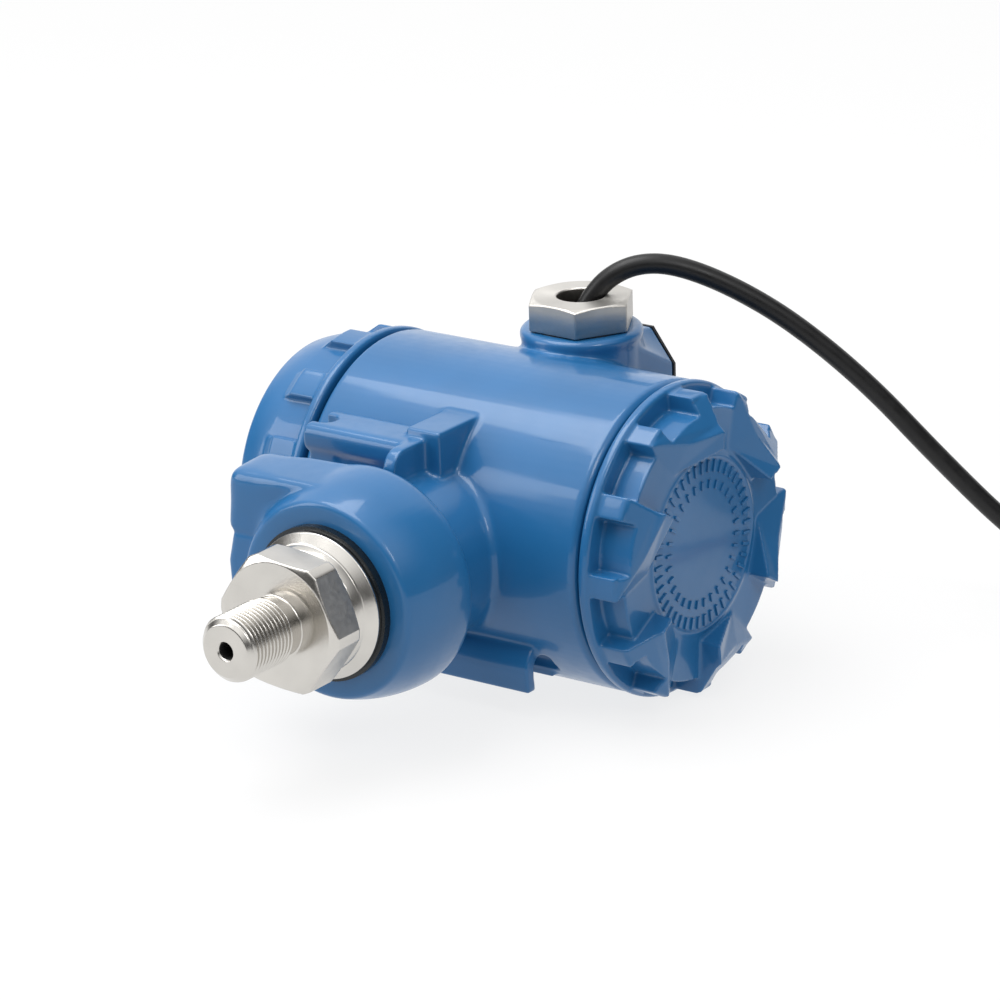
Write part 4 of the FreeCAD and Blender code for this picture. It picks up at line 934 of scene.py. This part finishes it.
class TRANSMITTER_OT_cable_gland(bpy.types.Operator):
    """Hexagonal steel gland, the seal under it, the potting and the plate behind the boss"""

    bl_idname = "transmitter.cable_gland"
    bl_label = "Add Cable Gland"

    def execute(self, context):
        low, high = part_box("cable_gland")
        base = high.z - GLAND_HEIGHT
        angles = column_angles(120, [GLAND_CORNER_DEG + 60.0 * k for k in range(6)])
        flat = hexagon_radius(angles, GLAND_FLATS, GLAND_CORNER_DEG, 0.0003)
        ones = np.ones(len(angles))
        rings = []

        def ring(z, radius):
            """Add a ring of points at a height."""
            places = (BOSS_X + radius * np.cos(angles), BOSS_Y + radius * np.sin(angles), z * ones)
            rings.append(np.stack(places, axis=1))

        ring(low.z, GLAND_BORE_R * ones)
        ring(low.z, 0.0092 * ones)
        ring(low.z + 0.0007, GLAND_SPIGOT_R * ones)
        ring(base, GLAND_SPIGOT_R * ones)
        ring(base, flat - 0.0002)
        ring(base + 0.0002, flat)
        chamfer = 0.0008
        outer = GLAND_FLATS / 2.0 / math.cos(math.pi / 6.0) + 0.0001
        inner = 0.0121
        for k in range(CHAMFER_ROWS + 1):
            z = high.z - CHAMFER_SPAN + CHAMFER_SPAN * k / CHAMFER_ROWS
            cone = inner + (outer - inner) * (high.z - z) / chamfer
            ring(z, soft_min(flat, cone * ones, CHAMFER_BLEND))
        for z, radius in ((0.0, 0.0118), (0.0, 0.0094), (0.0, 0.0067), (0.0, 0.0065), (-0.0001, 0.00635),
                          (-0.0004, GLAND_BORE_R + 0.00002), (-0.0006, GLAND_BORE_R)):
            ring(high.z + z, radius * ones)
        mesh = grid_mesh("cable_gland_steel", rings, True)
        steel = steel_finish("gland_steel", (0.0, 0.0, 1.0), (BOSS_X, BOSS_Y, 0.0), 0.14)
        piece = show("cable_gland_turned", mesh, steel)
        # Painted shade: the gland's hexagon flats get a darker copy of the steel colour than its turned
        # top face
        second_finish(mesh, milled_finish("milled_gland_painted_shade", (1.0, 1.0, 0.2), 0.72),
                      lambda c, n: (np.abs(n[2]) < 0.03) & (c[2] > base + 0.0001))
        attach(piece, "head")
        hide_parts("cable_gland")
        dress("cable_gland", steel)
        dress("gland_seal", moulded("seal_rubber", (0.012, 0.012, 0.013, 1.0), 0.5))
        dress("cable_potting", moulded("potting_resin", (0.02, 0.02, 0.02, 1.0), 0.28))
        dress("rear_plate", moulded("plate_paint", (0.018, 0.018, 0.02, 1.0), 0.45))
        return {"FINISHED"}


class TRANSMITTER_OT_window(bpy.types.Operator):
    """Window of the display cover and the display module behind it"""

    bl_idname = "transmitter.window"
    bl_label = "Add Window"

    def execute(self, context):
        f = Finish("window_pane", Base_Color=(0.93, 0.97, 0.95, 1.0), IOR=1.5, Transmission_Weight=1.0)
        f.feed("Roughness", f.span(f.noise(0.004, 2.0), 0.01, 0.03))
        dress("window_glass", f.material)
        dress("window_gasket", moulded("gasket_rubber", (0.012, 0.012, 0.013, 1.0), 0.55))
        dress("window_ring", plain_metal("ring_alloy", (0.42, 0.42, 0.43, 1.0), 0.4))
        dress("display_case", moulded("case_plastic", (0.022, 0.022, 0.024, 1.0), 0.5))
        dress("display_panel", moulded("panel_grey", (0.33, 0.37, 0.30, 1.0), 0.3))
        dress("display_spacers", plain_metal("spacer_brass", (0.62, 0.46, 0.20, 1.0), 0.3))
        dress("display_screws", plain_metal("screw_steel", (0.60, 0.60, 0.60, 1.0), 0.3))
        return {"FINISHED"}


class TRANSMITTER_OT_inner_parts(bpy.types.Operator):
    """Seals, sensor, circuit board and terminals inside the housing"""

    bl_idname = "transmitter.inner_parts"
    bl_label = "Dress Inner Parts"

    def execute(self, context):
        rubber = bpy.data.materials["black_rubber"]
        screw = bpy.data.materials["screw_steel"]
        brass = bpy.data.materials["spacer_brass"]
        for node in ("terminal_cover_seal", "display_cover_seal", "sensor_seal"):
            dress(node, rubber)
        for node in ("board_screws", "terminal_screws", "block_screws", "earth_screw"):
            dress(node, screw)
        for node in ("board_posts", "wall_pins"):
            dress(node, brass)
        dress("terminal_clamps", plain_metal("nickel_plate", (0.66, 0.62, 0.54, 1.0), 0.3))
        dress("sensor_cell", plain_metal("sensor_steel", (0.58, 0.57, 0.55, 1.0), 0.25))
        dress("sensor_retainer", plain_metal("retainer_steel", (0.50, 0.49, 0.47, 1.0), 0.35))
        dress("wall_bush", moulded("bush_resin", (0.03, 0.03, 0.032, 1.0), 0.4))
        dress("terminal_block", moulded("terminal_plastic", (0.045, 0.05, 0.048, 1.0), 0.45))
        dress("board_components", moulded("chip_plastic", (0.015, 0.015, 0.016, 1.0), 0.4))
        board = Finish("board_lacquer", Specular_IOR_Level=0.5, Coat_Weight=0.3)
        cells = board.add("ShaderNodeTexBrick", {"Vector": board.coords}, {
            "Scale": 260.0, "Mortar Size": 0.03, "Color1": (0.008, 0.075, 0.028, 1.0),
            "Color2": (0.010, 0.095, 0.035, 1.0), "Mortar": (0.02, 0.16, 0.06, 1.0)})
        board.feed("Base Color", cells.outputs["Color"])
        board.feed("Roughness", board.span(board.noise(0.002), 0.3, 0.42))
        dress("circuit_board", board.material)
        dress("cable_cores", striped("core_insulation", (0.0, 1.0, 0.0), (
            (BARREL_Y - 0.02, RED), (BARREL_Y, BLUE)), 0.42))
        dress("sensor_wires", striped("wire_insulation", (0.0, 0.0, 1.0), (
            (-0.004, RED), (-0.002, BLUE), (0.0, YELLOW), (0.002, WHITE)), 0.42))
        return {"FINISHED"}


OPERATORS = (
    TRANSMITTER_OT_stage,
    TRANSMITTER_OT_cable,
    TRANSMITTER_OT_housing,
    TRANSMITTER_OT_covers,
    TRANSMITTER_OT_process_fitting,
    TRANSMITTER_OT_cable_gland,
    TRANSMITTER_OT_window,
    TRANSMITTER_OT_inner_parts,
)
SETTINGS = {
    "transmitter_paint": PaintSettings,
    "transmitter_steel": SteelSettings,
    "transmitter_cable": CableSettings,
    "transmitter_stage": StageSettings,
}


class TRANSMITTER_PT_panel(bpy.types.Panel):
    """Settings and steps of the transmitter head"""

    bl_idname = "TRANSMITTER_PT_panel"
    bl_label = "Transmitter Head"
    bl_space_type = "VIEW_3D"
    bl_region_type = "UI"
    bl_category = "Transmitter"

    def draw(self, context):
        layout = self.layout
        for name, kind in SETTINGS.items():
            box = layout.box()
            for setting in kind.__annotations__:
                box.prop(getattr(context.scene, name), setting)
        for operator in OPERATORS:
            layout.operator(operator.bl_idname)


def register():
    for kind in (*SETTINGS.values(), *OPERATORS, TRANSMITTER_PT_panel):
        bpy.utils.register_class(kind)
    for name, kind in SETTINGS.items():
        setattr(bpy.types.Scene, name, PointerProperty(type=kind))


def unregister():
    for name in SETTINGS:
        delattr(bpy.types.Scene, name)
    for kind in reversed((*SETTINGS.values(), *OPERATORS, TRANSMITTER_PT_panel)):
        bpy.utils.unregister_class(kind)


def main():
    register()
    for operator in OPERATORS:
        group, step = operator.bl_idname.split(".")
        getattr(getattr(bpy.ops, group), step)()


if __name__ == "__main__":
    main()
